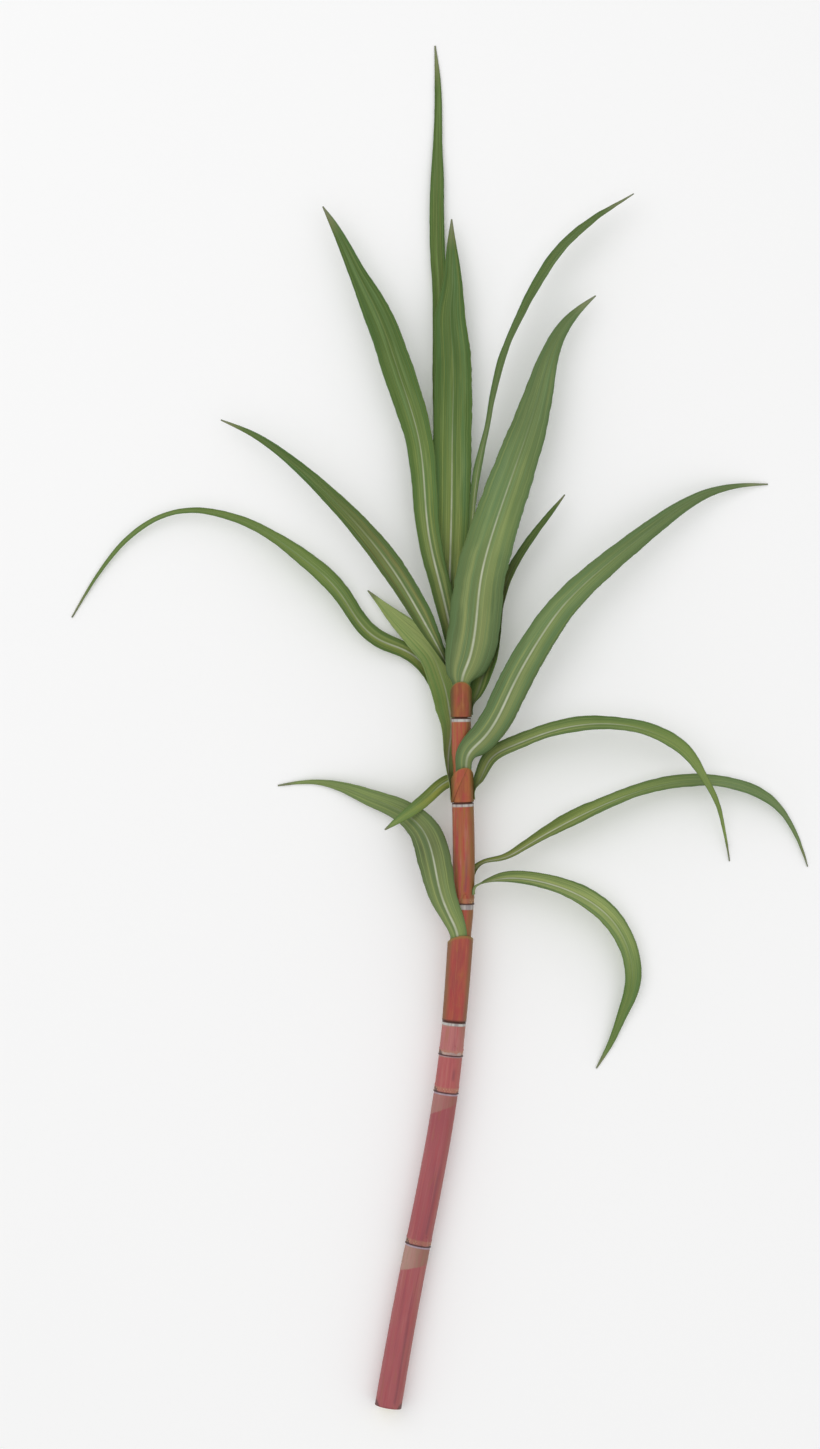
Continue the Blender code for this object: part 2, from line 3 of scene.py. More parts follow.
import bpy
import numpy as np
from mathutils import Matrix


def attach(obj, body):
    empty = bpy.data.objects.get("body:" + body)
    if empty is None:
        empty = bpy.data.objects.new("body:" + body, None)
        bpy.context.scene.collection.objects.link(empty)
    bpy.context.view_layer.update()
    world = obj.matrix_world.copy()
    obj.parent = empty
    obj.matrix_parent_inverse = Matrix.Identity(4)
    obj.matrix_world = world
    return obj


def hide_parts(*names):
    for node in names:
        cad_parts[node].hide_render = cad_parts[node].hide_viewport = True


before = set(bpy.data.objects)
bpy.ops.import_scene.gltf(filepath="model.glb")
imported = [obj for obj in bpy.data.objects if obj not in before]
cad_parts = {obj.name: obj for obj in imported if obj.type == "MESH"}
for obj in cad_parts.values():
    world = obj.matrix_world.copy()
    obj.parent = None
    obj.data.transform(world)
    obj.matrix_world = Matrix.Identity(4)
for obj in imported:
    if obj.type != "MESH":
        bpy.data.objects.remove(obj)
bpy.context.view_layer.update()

# The cane: a solid, juicy stem in joints. Its rind is red and waxy, and each joint has a leaf scar,
# a wax ring below it, a band of root eyes above it and a bud. It was cut through at the butt, and
# it is drawn here as rings square to its axis, which the sheaths and leaves are set against too.
AXIS_Y = (-0.989, -0.870, -0.753, -0.531, -0.339, -0.200, -0.050, 0.085)
AXIS_X = (-0.0754, -0.0545, -0.0319, 0.0087, 0.0276, 0.0342, 0.0312, 0.0305)
AXIS_Z = (0.0187, 0.0186, 0.0203, 0.0265, 0.0340, 0.0400, 0.0450, 0.0480)
CANE_RADIUS_AT = (-0.989, -0.753, -0.531, -0.4284, -0.4278, -0.300, -0.275, -0.257, -0.1114, -0.1108,
                  -0.056, -0.040, 0.0116, 0.0122, 0.085)
CANE_RADIUS = (0.0196, 0.0182, 0.0176, 0.0172, 0.0152, 0.0150, 0.0162, 0.0163, 0.0157, 0.0128,
               0.0128, 0.0144, 0.0140, 0.0094, 0.0088)
BUTT_Y, CANE_TOP_Y = AXIS_Y[0], AXIS_Y[-1]
CANE_SIDES = 96
CUT_BEVEL = 0.0007
CUT_RINGS = (1.0, 0.975, 0.95, 0.75, 0.5, 0.25)
CANE_LOWEST = 0.0002

# Each joint: place along the cane, width of its wax ring, how white that ring is, how far down the
# pale film reaches on the left and on the right, and the side of its bud in degrees, 90 being up.
JOINTS = (
    (-0.753, 0.0020, 0.25, 0.040, 0.025, 60),
    (-0.531, 0.0020, 0.30, 0.034, 0.014, 250),
    (-0.477, 0.0006, 0.40, 0.004, 0.003, 75),
    (-0.429, 0.0034, 1.00, 0.008, 0.005, None),
    (-0.257, 0.0066, 0.85, 0.009, 0.008, 80),
    (-0.112, 0.0034, 0.85, 0.006, 0.005, None),
    (0.011, 0.0036, 0.95, 0.006, 0.005, None),
)
# How far the surface stands out near a bare joint: the scar's rim, then the swollen growth ring
JOINT_PROFILE = (
    (-0.0180, 0.0), (-0.0040, -0.0002), (-0.0028, -0.0004), (-0.0012, -0.0003), (-0.0008, 0.0007),
    (-0.0002, 0.0010), (0.0006, 0.0009), (0.0011, 0.0002), (0.0022, 0.0001), (0.0072, 0.0003),
    (0.0082, 0.0006), (0.0098, 0.0006), (0.0108, 0.0002), (0.0160, 0.0),
)
# Furrows that a bud leaves in the joint above it: from, to, side in degrees
FURROWS = ((-0.985, -0.800, 66), (-0.738, -0.590, 60), (-0.515, -0.490, 66), (-0.242, -0.170, 80))


def smooth_curve(at, known_at, values):
    """Natural cubic spline: the values at the places in at, through the known ones."""
    knots, rows = np.asarray(known_at, float), np.asarray(values, float)
    gaps = np.diff(knots)
    count = len(knots)
    system, right = np.eye(count), np.zeros_like(rows)
    for i in range(1, count - 1):
        system[i, i - 1:i + 2] = gaps[i - 1], 2 * (gaps[i - 1] + gaps[i]), gaps[i]
        right[i] = 6 * ((rows[i + 1] - rows[i]) / gaps[i] - (rows[i] - rows[i - 1]) / gaps[i - 1])
    bend = np.linalg.solve(system, right)
    at = np.asarray(at, float)
    span = np.clip(np.searchsorted(knots, at, side="right") - 1, 0, count - 2)
    gap = gaps[span][:, None]
    after = (at - knots[span])[:, None] / gap
    before = 1 - after
    curve = (before ** 3 - before) * bend[span] + (after ** 3 - after) * bend[span + 1]
    return before * rows[span] + after * rows[span + 1] + curve * gap ** 2 / 6


def unit(vectors):
    return vectors / np.linalg.norm(vectors, axis=-1, keepdims=True)


def cane_frames(along):
    """For places along the cane: its middle, and the two directions square to it, right and up."""
    along = np.atleast_1d(np.asarray(along, float))
    table = np.column_stack((AXIS_X, AXIS_Y, AXIS_Z))
    middle = smooth_curve(along, AXIS_Y, table)
    forward = unit(smooth_curve(along + 0.001, AXIS_Y, table) - smooth_curve(along - 0.001, AXIS_Y, table))
    right = unit(np.cross(forward, (0.0, 0.0, 1.0)))
    return middle, right, np.cross(right, forward)


def cane_radius(along):
    return np.interp(along, CANE_RADIUS_AT, CANE_RADIUS)


def sweep_round(along, turn, radius):
    """Points at a radius from the cane's axis, for arrays of places and turns of one shape."""
    middle, right, up = cane_frames(along.ravel())
    spread = radius.ravel()[:, None] * (np.cos(turn.ravel())[:, None] * right
                                        + np.sin(turn.ravel())[:, None] * up)
    return (middle + spread).reshape(*along.shape, 3)


def ramp(value, low, high):
    """0 below low, 1 above high and smooth in between."""
    share = np.clip((value - low) / (high - low), 0, 1)
    return share * share * (3 - 2 * share)


def ripples(value, seed, waves=5):
    """A smooth wander round 0, up to about 1, that never repeats along a part."""
    rng = np.random.default_rng(seed)
    total = np.zeros_like(value)
    for step in range(waves):
        total += np.sin(value * rng.uniform(0.6, 1.4) * 1.7 ** step + rng.uniform(0, 6.28)) / 1.4 ** step
    return total / 2.6


def keep_piece(name, mesh, smooth):
    """Puts a finished mesh in the scene as a piece of the stalk."""
    mesh.polygons.foreach_set("use_smooth", [smooth] * len(mesh.polygons))
    piece = bpy.data.objects.new(name, mesh)
    bpy.context.scene.collection.objects.link(piece)
    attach(piece, "root")
    return piece


def make_piece(name, points, faces, attributes, finish, smooth=True):
    """A finished piece from its corners and faces, with named values on its corners."""
    mesh = bpy.data.meshes.new(name)
    mesh.from_pydata([tuple(p) for p in points], [], faces)
    for key, values in attributes.items():
        values = np.asarray(values, np.float32)
        if values.ndim == 2:
            mesh.attributes.new(key, "FLOAT_VECTOR", "POINT").data.foreach_set("vector", values.ravel())
        else:
            mesh.attributes.new(key, "FLOAT", "POINT").data.foreach_set("value", values)
    mesh.materials.append(finish)
    mesh.update()
    return keep_piece(name, mesh, smooth)


def dye(code):
    """A colour as it looks, written in hexadecimal, turned into the light it sends back."""
    shares = [int(code[i:i + 2], 16) / 255 for i in (0, 2, 4)]
    return tuple(s / 12.92 if s <= 0.04045 else ((s + 0.055) / 1.055) ** 2.4 for s in shares) + (1.0,)


class Recipe:
    """A material that is put together step by step from nodes."""

    def __init__(self, name, **sockets):
        self.material = bpy.data.materials.new(name)
        self.material.use_nodes = True
        self.tree = self.material.node_tree
        self.shader = self.tree.nodes["Principled BSDF"]
        for socket, value in sockets.items():
            self.shader.inputs[socket.replace("_", " ")].default_value = value

    def node(self, kind, inputs=(), **settings):
        made = self.tree.nodes.new(kind)
        for key, value in settings.items():
            setattr(made, key, value)
        for key, value in dict(inputs).items():
            if isinstance(value, bpy.types.NodeSocket):
                self.tree.links.new(value, made.inputs[key])
            else:
                made.inputs[key].default_value = value
        return made

    def sum(self, operation, first, second=0.0, clamp=False):
        return self.node("ShaderNodeMath", {0: first, 1: second}, operation=operation,
                         use_clamp=clamp).outputs[0]

    def times(self, first, second):
        return self.sum("MULTIPLY", first, second)

    def value(self, name):
        return self.node("ShaderNodeAttribute", attribute_name=name).outputs["Fac"]

    def place(self, name):
        vector = self.node("ShaderNodeAttribute", attribute_name=name).outputs["Vector"]
        return vector, self.node("ShaderNodeSeparateXYZ", {0: vector}).outputs

    def stretch(self, vector, scale, shift=(0.0, 0.0, 0.0)):
        inputs = {"Vector": vector, "Scale": scale, "Location": shift}
        return self.node("ShaderNodeMapping", inputs).outputs[0]

    def noise(self, vector, scale, detail=3.0, rough=0.5):
        return self.node("ShaderNodeTexNoise", {"Vector": vector, "Scale": scale, "Detail": detail,
                                                "Roughness": rough}).outputs["Fac"]

    def fade(self, value, low, high, start=0.0, end=1.0):
        return self.node("ShaderNodeMapRange", {"Value": value, "From Min": low, "From Max": high,
                                                "To Min": start, "To Max": end},
                         interpolation_type="SMOOTHSTEP").outputs[0]

    def shades(self, value, stops):
        made = self.node("ShaderNodeValToRGB", {"Fac": value})
        line = made.color_ramp.elements
        while len(line) < len(stops):
            line.new(0.5)
        for element, (at, colour) in zip(line, stops):
            element.position = at
        for element, (at, colour) in zip(line, stops):
            element.color = dye(colour)
        return made.outputs["Color"]

    def mix(self, share, under, over):
        made = self.node("ShaderNodeMix", data_type="RGBA")
        for socket, item in ((made.inputs[0], share), (made.inputs[6], under), (made.inputs[7], over)):
            if isinstance(item, bpy.types.NodeSocket):
                self.tree.links.new(item, socket)
            else:
                socket.default_value = dye(item) if isinstance(item, str) else item
        return made.outputs[2]

    def finish(self, colour, roughness, height, depth):
        self.tree.links.new(colour, self.shader.inputs["Base Color"])
        self.tree.links.new(roughness, self.shader.inputs["Roughness"])
        bump = self.node("ShaderNodeBump", {"Height": height, "Strength": 0.6, "Distance": depth})
        self.tree.links.new(bump.outputs[0], self.shader.inputs["Normal"])
        return self.material


# The reds of the rind. They change at the joints, the second length darkens towards its upper end,
# and the upper cane is rusty.
ROSE, WINE, CORAL, DUSTY, RUST = "a4565a", "9c4e54", "b05a5a", "b46e6c", "a45a34"


def rind_finish():
    """Waxy red rind with painted shade on its sides, in its furrows and at the cut's edge, and the pale
    flesh with its fibres where the cane is cut.
    """
    rind = Recipe("cane rind", Specular_IOR_Level=0.35)
    vector, (side, _, along) = rind.place("cane_place")
    share = rind.node("ShaderNodeMapRange", {"Value": along, "From Min": BUTT_Y,
                                             "From Max": CANE_TOP_Y}).outputs[0]
    colour = rind.shades(share, (
        (0.00, ROSE), (0.21, ROSE), (0.222, WINE), (0.33, ROSE), (0.39, WINE), (0.420, WINE),
        (0.428, CORAL), (0.476, CORAL), (0.480, DUSTY), (0.520, DUSTY), (0.524, RUST), (1.00, RUST)))
    broad = rind.noise(rind.stretch(vector, (2.2, 2.2, 9.0)), 1.0, 4.0, 0.55)
    colour = rind.mix(rind.fade(broad, 0.50, 0.72, 0.0, 0.55), colour, "8f4450")
    colour = rind.mix(rind.fade(broad, 0.28, 0.46, 0.45, 0.0), colour, "b97a72")
    lines = rind.noise(rind.stretch(vector, (16.0, 16.0, 7.0)), 1.0, 5.0, 0.6)
    colour = rind.mix(rind.fade(lines, 0.52, 0.70, 0.0, 0.42), colour, "87404a")
    colour = rind.mix(rind.fade(lines, 0.30, 0.44, 0.30, 0.0), colour, "bf8478")
    # Painted shade: the left and right sides of the upper cane are painted a darker olive, as if in shade.
    shaded_flank = rind.sum("MAXIMUM", rind.fade(side, 0.25, 0.90), rind.fade(side, -0.82, -1.0, 0.0, 0.6))
    upper = rind.fade(along, -0.47, -0.40, 0.25, 1.0)
    blotch = rind.noise(rind.stretch(vector, (2.6, 2.6, 20.0), (3.0, 0.0, 1.0)), 1.2, 4.0, 0.55)
    colour = rind.mix(rind.times(rind.fade(blotch, 0.50, 0.62, 0.0, 0.60), upper), colour, "ab383e")
    colour = rind.mix(rind.times(rind.fade(blotch, 0.34, 0.46, 0.50, 0.0), upper), colour, "94702e")
    colour = rind.mix(rind.times(rind.times(shaded_flank, upper), 0.75), colour, "7a5a2c")
    patch = rind.noise(rind.stretch(vector, (3.0, 3.0, 30.0)), 1.3, 4.0, 0.6)
    film = rind.times(rind.value("film"), rind.fade(patch, 0.30, 0.70, 0.60, 1.0))
    # The pale waxy film has its own colour, painted lighter on the cane's left and darker on its right:
    # painted shade on the right side.
    bloom_and_shade = rind.mix(rind.fade(side, -0.75, 0.75), "b49588", "8f6858")
    colour = rind.mix(film, colour, rind.mix(rind.fade(patch, 0.4, 0.65, 0.0, 0.5), bloom_and_shade, "96705f"))
    # Painted shade: the furrows above the buds are painted darker, as shade in the grooves.
    colour = rind.mix(rind.times(rind.value("furrow"), 0.55), colour, "74404a")
    colour = rind.mix(rind.times(rind.value("root_band"), 0.30), colour, "b08a68")
    colour = rind.mix(rind.times(rind.value("lilac"), 0.85), colour, "a896b4")
    wax = rind.times(rind.value("wax"), rind.fade(lines, 0.25, 0.55, 0.75, 1.0))
    colour = rind.mix(wax, colour, rind.mix(rind.fade(broad, 0.4, 0.6), "c2c2bc", "9a9797"))
    # Dark leaf scars and painted shade: the scar value also holds the dark wedges beside the joints and the
    # dark corners at the cut.
    colour = rind.mix(rind.times(rind.value("scar"), 0.90), colour, "372a28")
    flesh = rind.noise(rind.stretch(vector, (1.0, 1.0, 1.0)), 3.0, 4.0)
    inside = rind.mix(flesh, "e8ddb4", "d8c894")
    cut = rind.value("cut")
    colour = rind.mix(rind.fade(cut, 0.55, 0.95), colour, inside)
    rough = rind.fade(lines, 0.3, 0.7, 0.42, 0.56)
    rough = rind.sum("ADD", rough, rind.times(rind.sum("ADD", film, wax), 0.2), clamp=True)
    grain = rind.noise(rind.stretch(vector, (30.0, 30.0, 40.0)), 1.0, 3.0)
    height = rind.sum("ADD", rind.times(lines, 0.7), rind.times(grain, 0.3))
    return rind.finish(colour, rough, height, 0.0006)


def cane_places():
    """Places of the cane's rings: close together at the joints and at the cut."""
    places = [np.arange(BUTT_Y + CUT_BEVEL, CANE_TOP_Y, 0.0030), [CANE_TOP_Y]]
    for place, _, _, left, right, _ in JOINTS:
        places.append(np.arange(place - 0.0090, place + 0.0170, 0.0006))
        places.append(np.arange(place - left - 0.002, place - right + 0.002, 0.0012))
    merged = np.unique(np.round(np.concatenate(places), 5))
    merged = merged[(merged >= BUTT_Y + CUT_BEVEL) & (merged <= CANE_TOP_Y)]
    return merged[np.concatenate(([True], np.diff(merged) > 0.0003))]


def near_turn(turn, degrees):
    """How far a turn is from a side, in radians and with its sign."""
    return (turn - np.radians(degrees) + math.pi) % (2 * math.pi) - math.pi


def make_cane():
    rings = cane_places()
    turn, along = np.meshgrid(np.arange(CANE_SIDES) * 2 * math.pi / CANE_SIDES, rings)
    radius = cane_radius(along)
    values = {key: np.zeros_like(along) for key in ("scar", "wax", "lilac", "film", "root_band", "furrow")}
    profile_at, profile = np.array(JOINT_PROFILE).T
    wander = 0.0007 * ripples(turn * 3, 4)
    for place, wax_width, white, left, right, bud in JOINTS:
        rise = along - place
        values["scar"] += ramp(rise, -0.0013, -0.0005) - ramp(rise, 0.0008, 0.0015)
        # Painted shade: a dark wedge just above the scar on the left and right sides of the cane, added to
        # the scar's darkness.
        wedge = 0.0080 * ramp(-np.cos(turn), 0.60, 0.92) + 0.0040 * ramp(np.cos(turn), 0.70, 0.95)
        values["scar"] += 0.8 * (rise > 0) * np.clip((wedge - rise) / 0.0016, 0, 1) * (bud is not None)
        ring = ramp(rise, -wax_width - 0.0015, -wax_width - 0.0008) - ramp(rise, -0.0012, -0.0006)
        values["wax"] += np.clip(ring, 0, 1) * white
        values["lilac"] += np.clip(ring, 0, 1) * (1 - white)
        reach = (left + right) / 2 + (right - left) / 2 * np.cos(turn) + wander
        film = ramp(rise, -reach, -reach + 0.0008) * (1 - ramp(rise, -0.0014, -0.0006))
        values["film"] += film * (1.0 if place < -0.6 else 0.55)
        radius += 0.00015 * film
        if bud is None:
            continue
        radius += np.interp(rise, profile_at, profile, 0, 0)
        values["root_band"] += ramp(rise, 0.0008, 0.0018) - ramp(rise, 0.0074, 0.0090)
        climb = np.clip((rise - 0.0008) / 0.0145, 0, 1)
        width = 0.0062 * (1 - climb) ** 0.6 * np.minimum(1, climb * 7 + 0.05) ** 0.5 + 1e-6
        off = np.abs(near_turn(turn, bud)) * radius / width
        radius += 0.0021 * np.sqrt(np.clip(1 - off ** 2, 0, 1)) * (climb > 0) * (climb < 1)
    # Painted shade: the rounded edge at the cut is painted dark, deepest on the left and right sides of the
    # cane.
    butt_shade = 0.0090 * ramp(np.abs(np.cos(turn)), 0.60, 0.95) + 0.0012 + 0.0008 * ripples(turn * 5, 7)
    values["scar"] += 0.75 * np.clip((BUTT_Y + butt_shade - along) / 0.002, 0, 1)
    split = JOINTS[2][0]
    zigzag = split + 0.0042 + 0.0016 * ripples(turn * 6, 9)
    pale = ramp(along, split + 0.0008, split + 0.0015) - ramp(along, zigzag, zigzag + 0.001)
    values["wax"] += 0.55 * np.clip(pale, 0, 1)
    for low, high, side in FURROWS:
        line = np.exp(-(near_turn(turn, side + 5 * ripples(along * 20, 2)) * radius / 0.0022) ** 2)
        line *= ramp(along, low, low + 0.006) * (1 - ramp(along, (low + high) / 2, high))
        values["furrow"] += line
        radius -= 0.0006 * line
    radius += 0.00012 * ripples(turn * 2 + along * 6, 3) * ramp(np.abs(along - BUTT_Y), 0, 0.01)
    points = sweep_round(along, turn, radius)
    place = np.stack((np.cos(turn), np.sin(turn), along), axis=-1)
    flesh_radius = radius[0] - CUT_BEVEL
    caps, cap_place, cap_cut = [], [], []
    for share in CUT_RINGS:
        level = BUTT_Y + 0.00012 * ripples(turn[0] * 4 + share * 20, 6) * (share < 0.98)
        caps.append(sweep_round(level, turn[0], flesh_radius * share))
        cap_place.append(np.column_stack((share * np.cos(turn[0]), share * np.sin(turn[0]), level)))
        cap_cut.append(np.full(CANE_SIDES, 0.0 if share > 0.99 else 0.7 if share > 0.96 else 1.0))
    count = len(rings)
    corners = [points.reshape(-1, 3)] + caps
    corners += [cane_frames(BUTT_Y)[0], cane_frames(CANE_TOP_Y)[0] + (0.0, 0.0003, 0.0)]
    corners = np.concatenate(corners)
    corners[:, 2] = np.maximum(corners[:, 2], CANE_LOWEST)
    first_cap = count * CANE_SIDES
    butt_middle = first_cap + len(CUT_RINGS) * CANE_SIDES
    faces = []
    after = [(i + 1) % CANE_SIDES for i in range(CANE_SIDES)]
    for ring in range(count - 1):
        low, high = ring * CANE_SIDES, (ring + 1) * CANE_SIDES
        faces += [(low + i, low + after[i], high + after[i], high + i) for i in range(CANE_SIDES)]
    outer = 0
    for inner in range(first_cap, butt_middle, CANE_SIDES):
        faces += [(outer + after[i], outer + i, inner + i, inner + after[i]) for i in range(CANE_SIDES)]
        outer = inner
    faces += [(outer + after[i], outer + i, butt_middle) for i in range(CANE_SIDES)]
    top = (count - 1) * CANE_SIDES
    faces += [(top + i, top + after[i], butt_middle + 1) for i in range(CANE_SIDES)]
    extra = len(CUT_RINGS) * CANE_SIDES + 2
    named = {key: np.concatenate((np.clip(v, 0, 1).ravel(), np.zeros(extra))) for key, v in values.items()}
    named["cut"] = np.concatenate([np.zeros(first_cap)] + cap_cut + [[1.0, 0.0]])
    ends = np.array(((0.0, 0.0, BUTT_Y), (0.0, 0.0, CANE_TOP_Y)))
    named["cane_place"] = np.concatenate([place.reshape(-1, 3)] + cap_place + [ends])
    cane = make_piece("cane", corners, faces, named, rind_finish())
    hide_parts("culm")


make_cane()

# Root eyes: two rows of small pale dots in the band above each bare joint, where roots would grow.
# They and the fibre ends in the cut are small bumps set out by Geometry Nodes.
EYES_IN_ROW = 26
EYE_ROWS = (0.0030, 0.0056)
CUT_FIBRES = 420


def scatter_tree(name, finish, flat):
    """Geometry Nodes that put one low bump on each corner, turned to the corner's outward value."""
    tree = bpy.data.node_groups.new(name, "GeometryNodeTree")
    for label, kind, way in (("Geometry", "Geometry", "INPUT"), ("Size", "Float", "INPUT"),
                             ("Seed", "Int", "INPUT"), ("Geometry", "Geometry", "OUTPUT")):
        tree.interface.new_socket(label, in_out=way, socket_type="NodeSocket" + kind)
    nodes, link = tree.nodes, tree.links.new
    given, made = nodes.new("NodeGroupInput"), nodes.new("NodeGroupOutput")
    bump = nodes.new("GeometryNodeMeshIcoSphere")
    bump.inputs["Subdivisions"].default_value = 1
    bump.inputs["Radius"].default_value = 1.0
    shape = nodes.new("GeometryNodeTransform")
    shape.inputs["Scale"].default_value = (1.0, 1.0, flat)
    outward = nodes.new("GeometryNodeInputNamedAttribute")
    outward.data_type = "FLOAT_VECTOR"
    outward.inputs["Name"].default_value = "outward"
    turn = nodes.new("FunctionNodeAlignRotationToVector")
    turn.axis = "Z"
    chance = nodes.new("FunctionNodeRandomValue")
    chance.inputs[2].default_value = 0.7
    chance.inputs[3].default_value = 1.25
    size = nodes.new("ShaderNodeMath")
    size.operation = "MULTIPLY"
    place = nodes.new("GeometryNodeInstanceOnPoints")
    real = nodes.new("GeometryNodeRealizeInstances")
    coat = nodes.new("GeometryNodeSetMaterial")
    coat.inputs["Material"].default_value = finish
    link(given.outputs["Geometry"], place.inputs["Points"])
    link(bump.outputs["Mesh"], shape.inputs["Geometry"])
    link(shape.outputs["Geometry"], place.inputs["Instance"])
    link(outward.outputs[0], turn.inputs["Vector"])
    link(turn.outputs[0], place.inputs["Rotation"])
    link(given.outputs["Seed"], chance.inputs["Seed"])
    link(chance.outputs[1], size.inputs[0])
    link(given.outputs["Size"], size.inputs[1])
    link(size.outputs[0], place.inputs["Scale"])
    link(place.outputs["Instances"], real.inputs[0])
    link(real.outputs[0], coat.inputs["Geometry"])
    link(coat.outputs[0], made.inputs["Geometry"])
    return tree


def run_tree(name, points, outward, tree, settings, smooth=True):
    """Runs a Geometry Nodes tree on loose corners and keeps its result as a plain piece."""
    mesh = bpy.data.meshes.new(name + "_places")
    mesh.from_pydata([tuple(p) for p in points], [], [])
    mesh.attributes.new("outward", "FLOAT_VECTOR", "POINT").data.foreach_set(
        "vector", np.asarray(outward, np.float32).ravel())
    guide = bpy.data.objects.new(name + "_guide", mesh)
    bpy.context.scene.collection.objects.link(guide)
    modifier = guide.modifiers.new("Nodes", "NODES")
    modifier.node_group = tree
    for item in tree.interface.items_tree:
        if item.in_out == "INPUT" and item.name in settings:
            modifier[item.identifier] = settings[item.name]
    evaluated = guide.evaluated_get(bpy.context.evaluated_depsgraph_get())
    result = bpy.data.meshes.new_from_object(evaluated)
    bpy.data.objects.remove(guide, do_unlink=True)
    result.name = name
    return keep_piece(name, result, smooth)


def speck_finish(name, light, dark, rough):
    """Small natural bumps, lighter and darker from one to the next."""
    speck = Recipe(name)
    vector = speck.node("ShaderNodeTexCoord").outputs["Object"]
    chance = speck.noise(vector, 700.0, 2.0)
    colour = speck.mix(speck.fade(chance, 0.35, 0.65), light, dark)
    return speck.finish(colour, speck.fade(chance, 0.3, 0.7, rough, rough + 0.15), chance, 0.0002)


eye_along, eye_turn = [], []
for joint, *_, bud in JOINTS:
    if bud is None:
        continue
    for row, rise in enumerate(EYE_ROWS):
        around = (np.arange(EYES_IN_ROW) + row / 2) * 2 * math.pi / EYES_IN_ROW
        clear = np.abs(near_turn(around, bud)) > 0.42
        eye_turn.append(around[clear])
        eye_along.append(np.full(clear.sum(), joint + rise) + 0.0004 * ripples(around[clear] * 9, row))
eye_along, eye_turn = np.concatenate(eye_along), np.concatenate(eye_turn)
eye_points = sweep_round(eye_along, eye_turn, cane_radius(eye_along) + 0.0001)
eye_out = eye_points - cane_frames(eye_along)[0]
kept = eye_points[:, 2] > 0.0012
run_tree("root_eyes", eye_points[kept], eye_out[kept],
         scatter_tree("root eye bumps", speck_finish("root eye", "c9a67c", "a4765c", 0.5), 0.55),
         {"Size": 0.00085, "Seed": 3})

rng = np.random.default_rng(11)
fibre_share = np.sqrt(rng.uniform(0, 1, CUT_FIBRES)) * 0.93
fibre_turn = rng.uniform(0, 2 * math.pi, CUT_FIBRES)
fibre_points = sweep_round(np.full(CUT_FIBRES, BUTT_Y + 0.00005), fibre_turn,
                           fibre_share * (CANE_RADIUS[0] - CUT_BEVEL))
fibre_points = fibre_points[fibre_points[:, 2] > 0.0016]
run_tree("cut_fibres", fibre_points, np.tile((0.0, -1.0, 0.0), (len(fibre_points), 1)),
         scatter_tree("fibre ends", speck_finish("fibre end", "b59c5e", "8c6f3c", 0.6), 0.6),
         {"Size": 0.00036, "Seed": 8})

# The sheaths: the feet of three leaves, rolled round the cane as an open tube whose one edge laps over
# the other. They are thin, ribbed along their length, red in the sun, and end in a rounded pale lip.
SHEATH_WALL = 0.0009
SHEATH_LAP = 0.55
SHEATH_SIDES, SHEATH_ROWS = 132, 70
LAP_GAP = 0.0003
CROWN_MOUTH, UPPER_MOUTH = 0.0146, 0.0155


def sheath_finish(name, body, deep, edge):
    """Thin ribbed red sheath that dries pale at its lip, with painted shade on its sides and along its
    lapping edge.
    """
    skin = Recipe(name, Specular_IOR_Level=0.3)
    vector, (_, share, _) = skin.place("sheath_place")
    ribs = skin.noise(skin.stretch(vector, (30.0, 0.5, 6.0)), 1.0, 4.0, 0.6)
    broad = skin.noise(skin.stretch(vector, (4.0, 1.0, 22.0)), 1.0, 4.0, 0.55)
    colour = skin.mix(skin.fade(broad, 0.38, 0.66), body, deep)
    blotch = skin.noise(skin.stretch(vector, (3.0, 1.0, 24.0), (7.0, 0.0, 2.0)), 1.2, 4.0, 0.55)
    colour = skin.mix(skin.fade(blotch, 0.50, 0.64, 0.0, 0.50), colour, "a83c40")
    colour = skin.mix(skin.fade(blotch, 0.34, 0.46, 0.40, 0.0), colour, "a06a34")
    colour = skin.mix(skin.fade(ribs, 0.50, 0.68, 0.0, 0.45), colour, deep)
    colour = skin.mix(skin.fade(ribs, 0.30, 0.45, 0.30, 0.0), colour, "c98a5c")
    # Painted shade: the left and right sides of each sheath take the edge colour, a dark olive.
    shaded_flank = skin.fade(skin.value("shaded_flank"), 0.50, 0.93)
    colour = skin.mix(skin.times(shaded_flank, 0.85), colour, edge)
    colour = skin.mix(skin.fade(share, 0.955, 0.99, 0.0, 0.60), colour, "8c7a3a")
    # Painted shade: a dark line along the edge that laps over, as shade at the step.
    colour = skin.mix(skin.fade(skin.value("margin"), 0.6, 1.0, 0.0, 0.75), colour, "6a4028")
    colour = skin.mix(skin.fade(share, 0.0, 0.03, 0.8, 0.0), colour, "4c2e26")
    height = skin.sum("ADD", skin.times(ribs, 0.8), skin.times(broad, 0.3))
    return skin.finish(colour, skin.fade(ribs, 0.3, 0.7, 0.45, 0.6), height, 0.0007)


def closed_sheet(rows, columns, turned=False):
    """Faces of a thin sheet: two layers of rows and columns of corners, closed along the four edges."""
    size = rows * columns
    last = size - columns
    skin, rim = [], []
    for i in (row * columns + step for row in range(rows - 1) for step in range(columns - 1)):
        skin.append((i, i + 1, i + columns + 1, i + columns))
        skin.append((size + i + columns, size + i + columns + 1, size + i + 1, size + i))
    for i in range(columns - 1):
        rim.append((i + 1, i, size + i, size + i + 1))
        rim.append((last + i, last + i + 1, size + last + i + 1, size + last + i))
    for left in range(0, last, columns):
        right = left + columns - 1
        rim.append((left, left + columns, size + left + columns, size + left))
        rim.append((right + columns, right, size + right, size + right + columns))
    if turned:
        return [(a, d, c, b) for a, b, c, d in skin] + [(b, a, d, c) for a, b, c, d in rim]
    return skin + rim


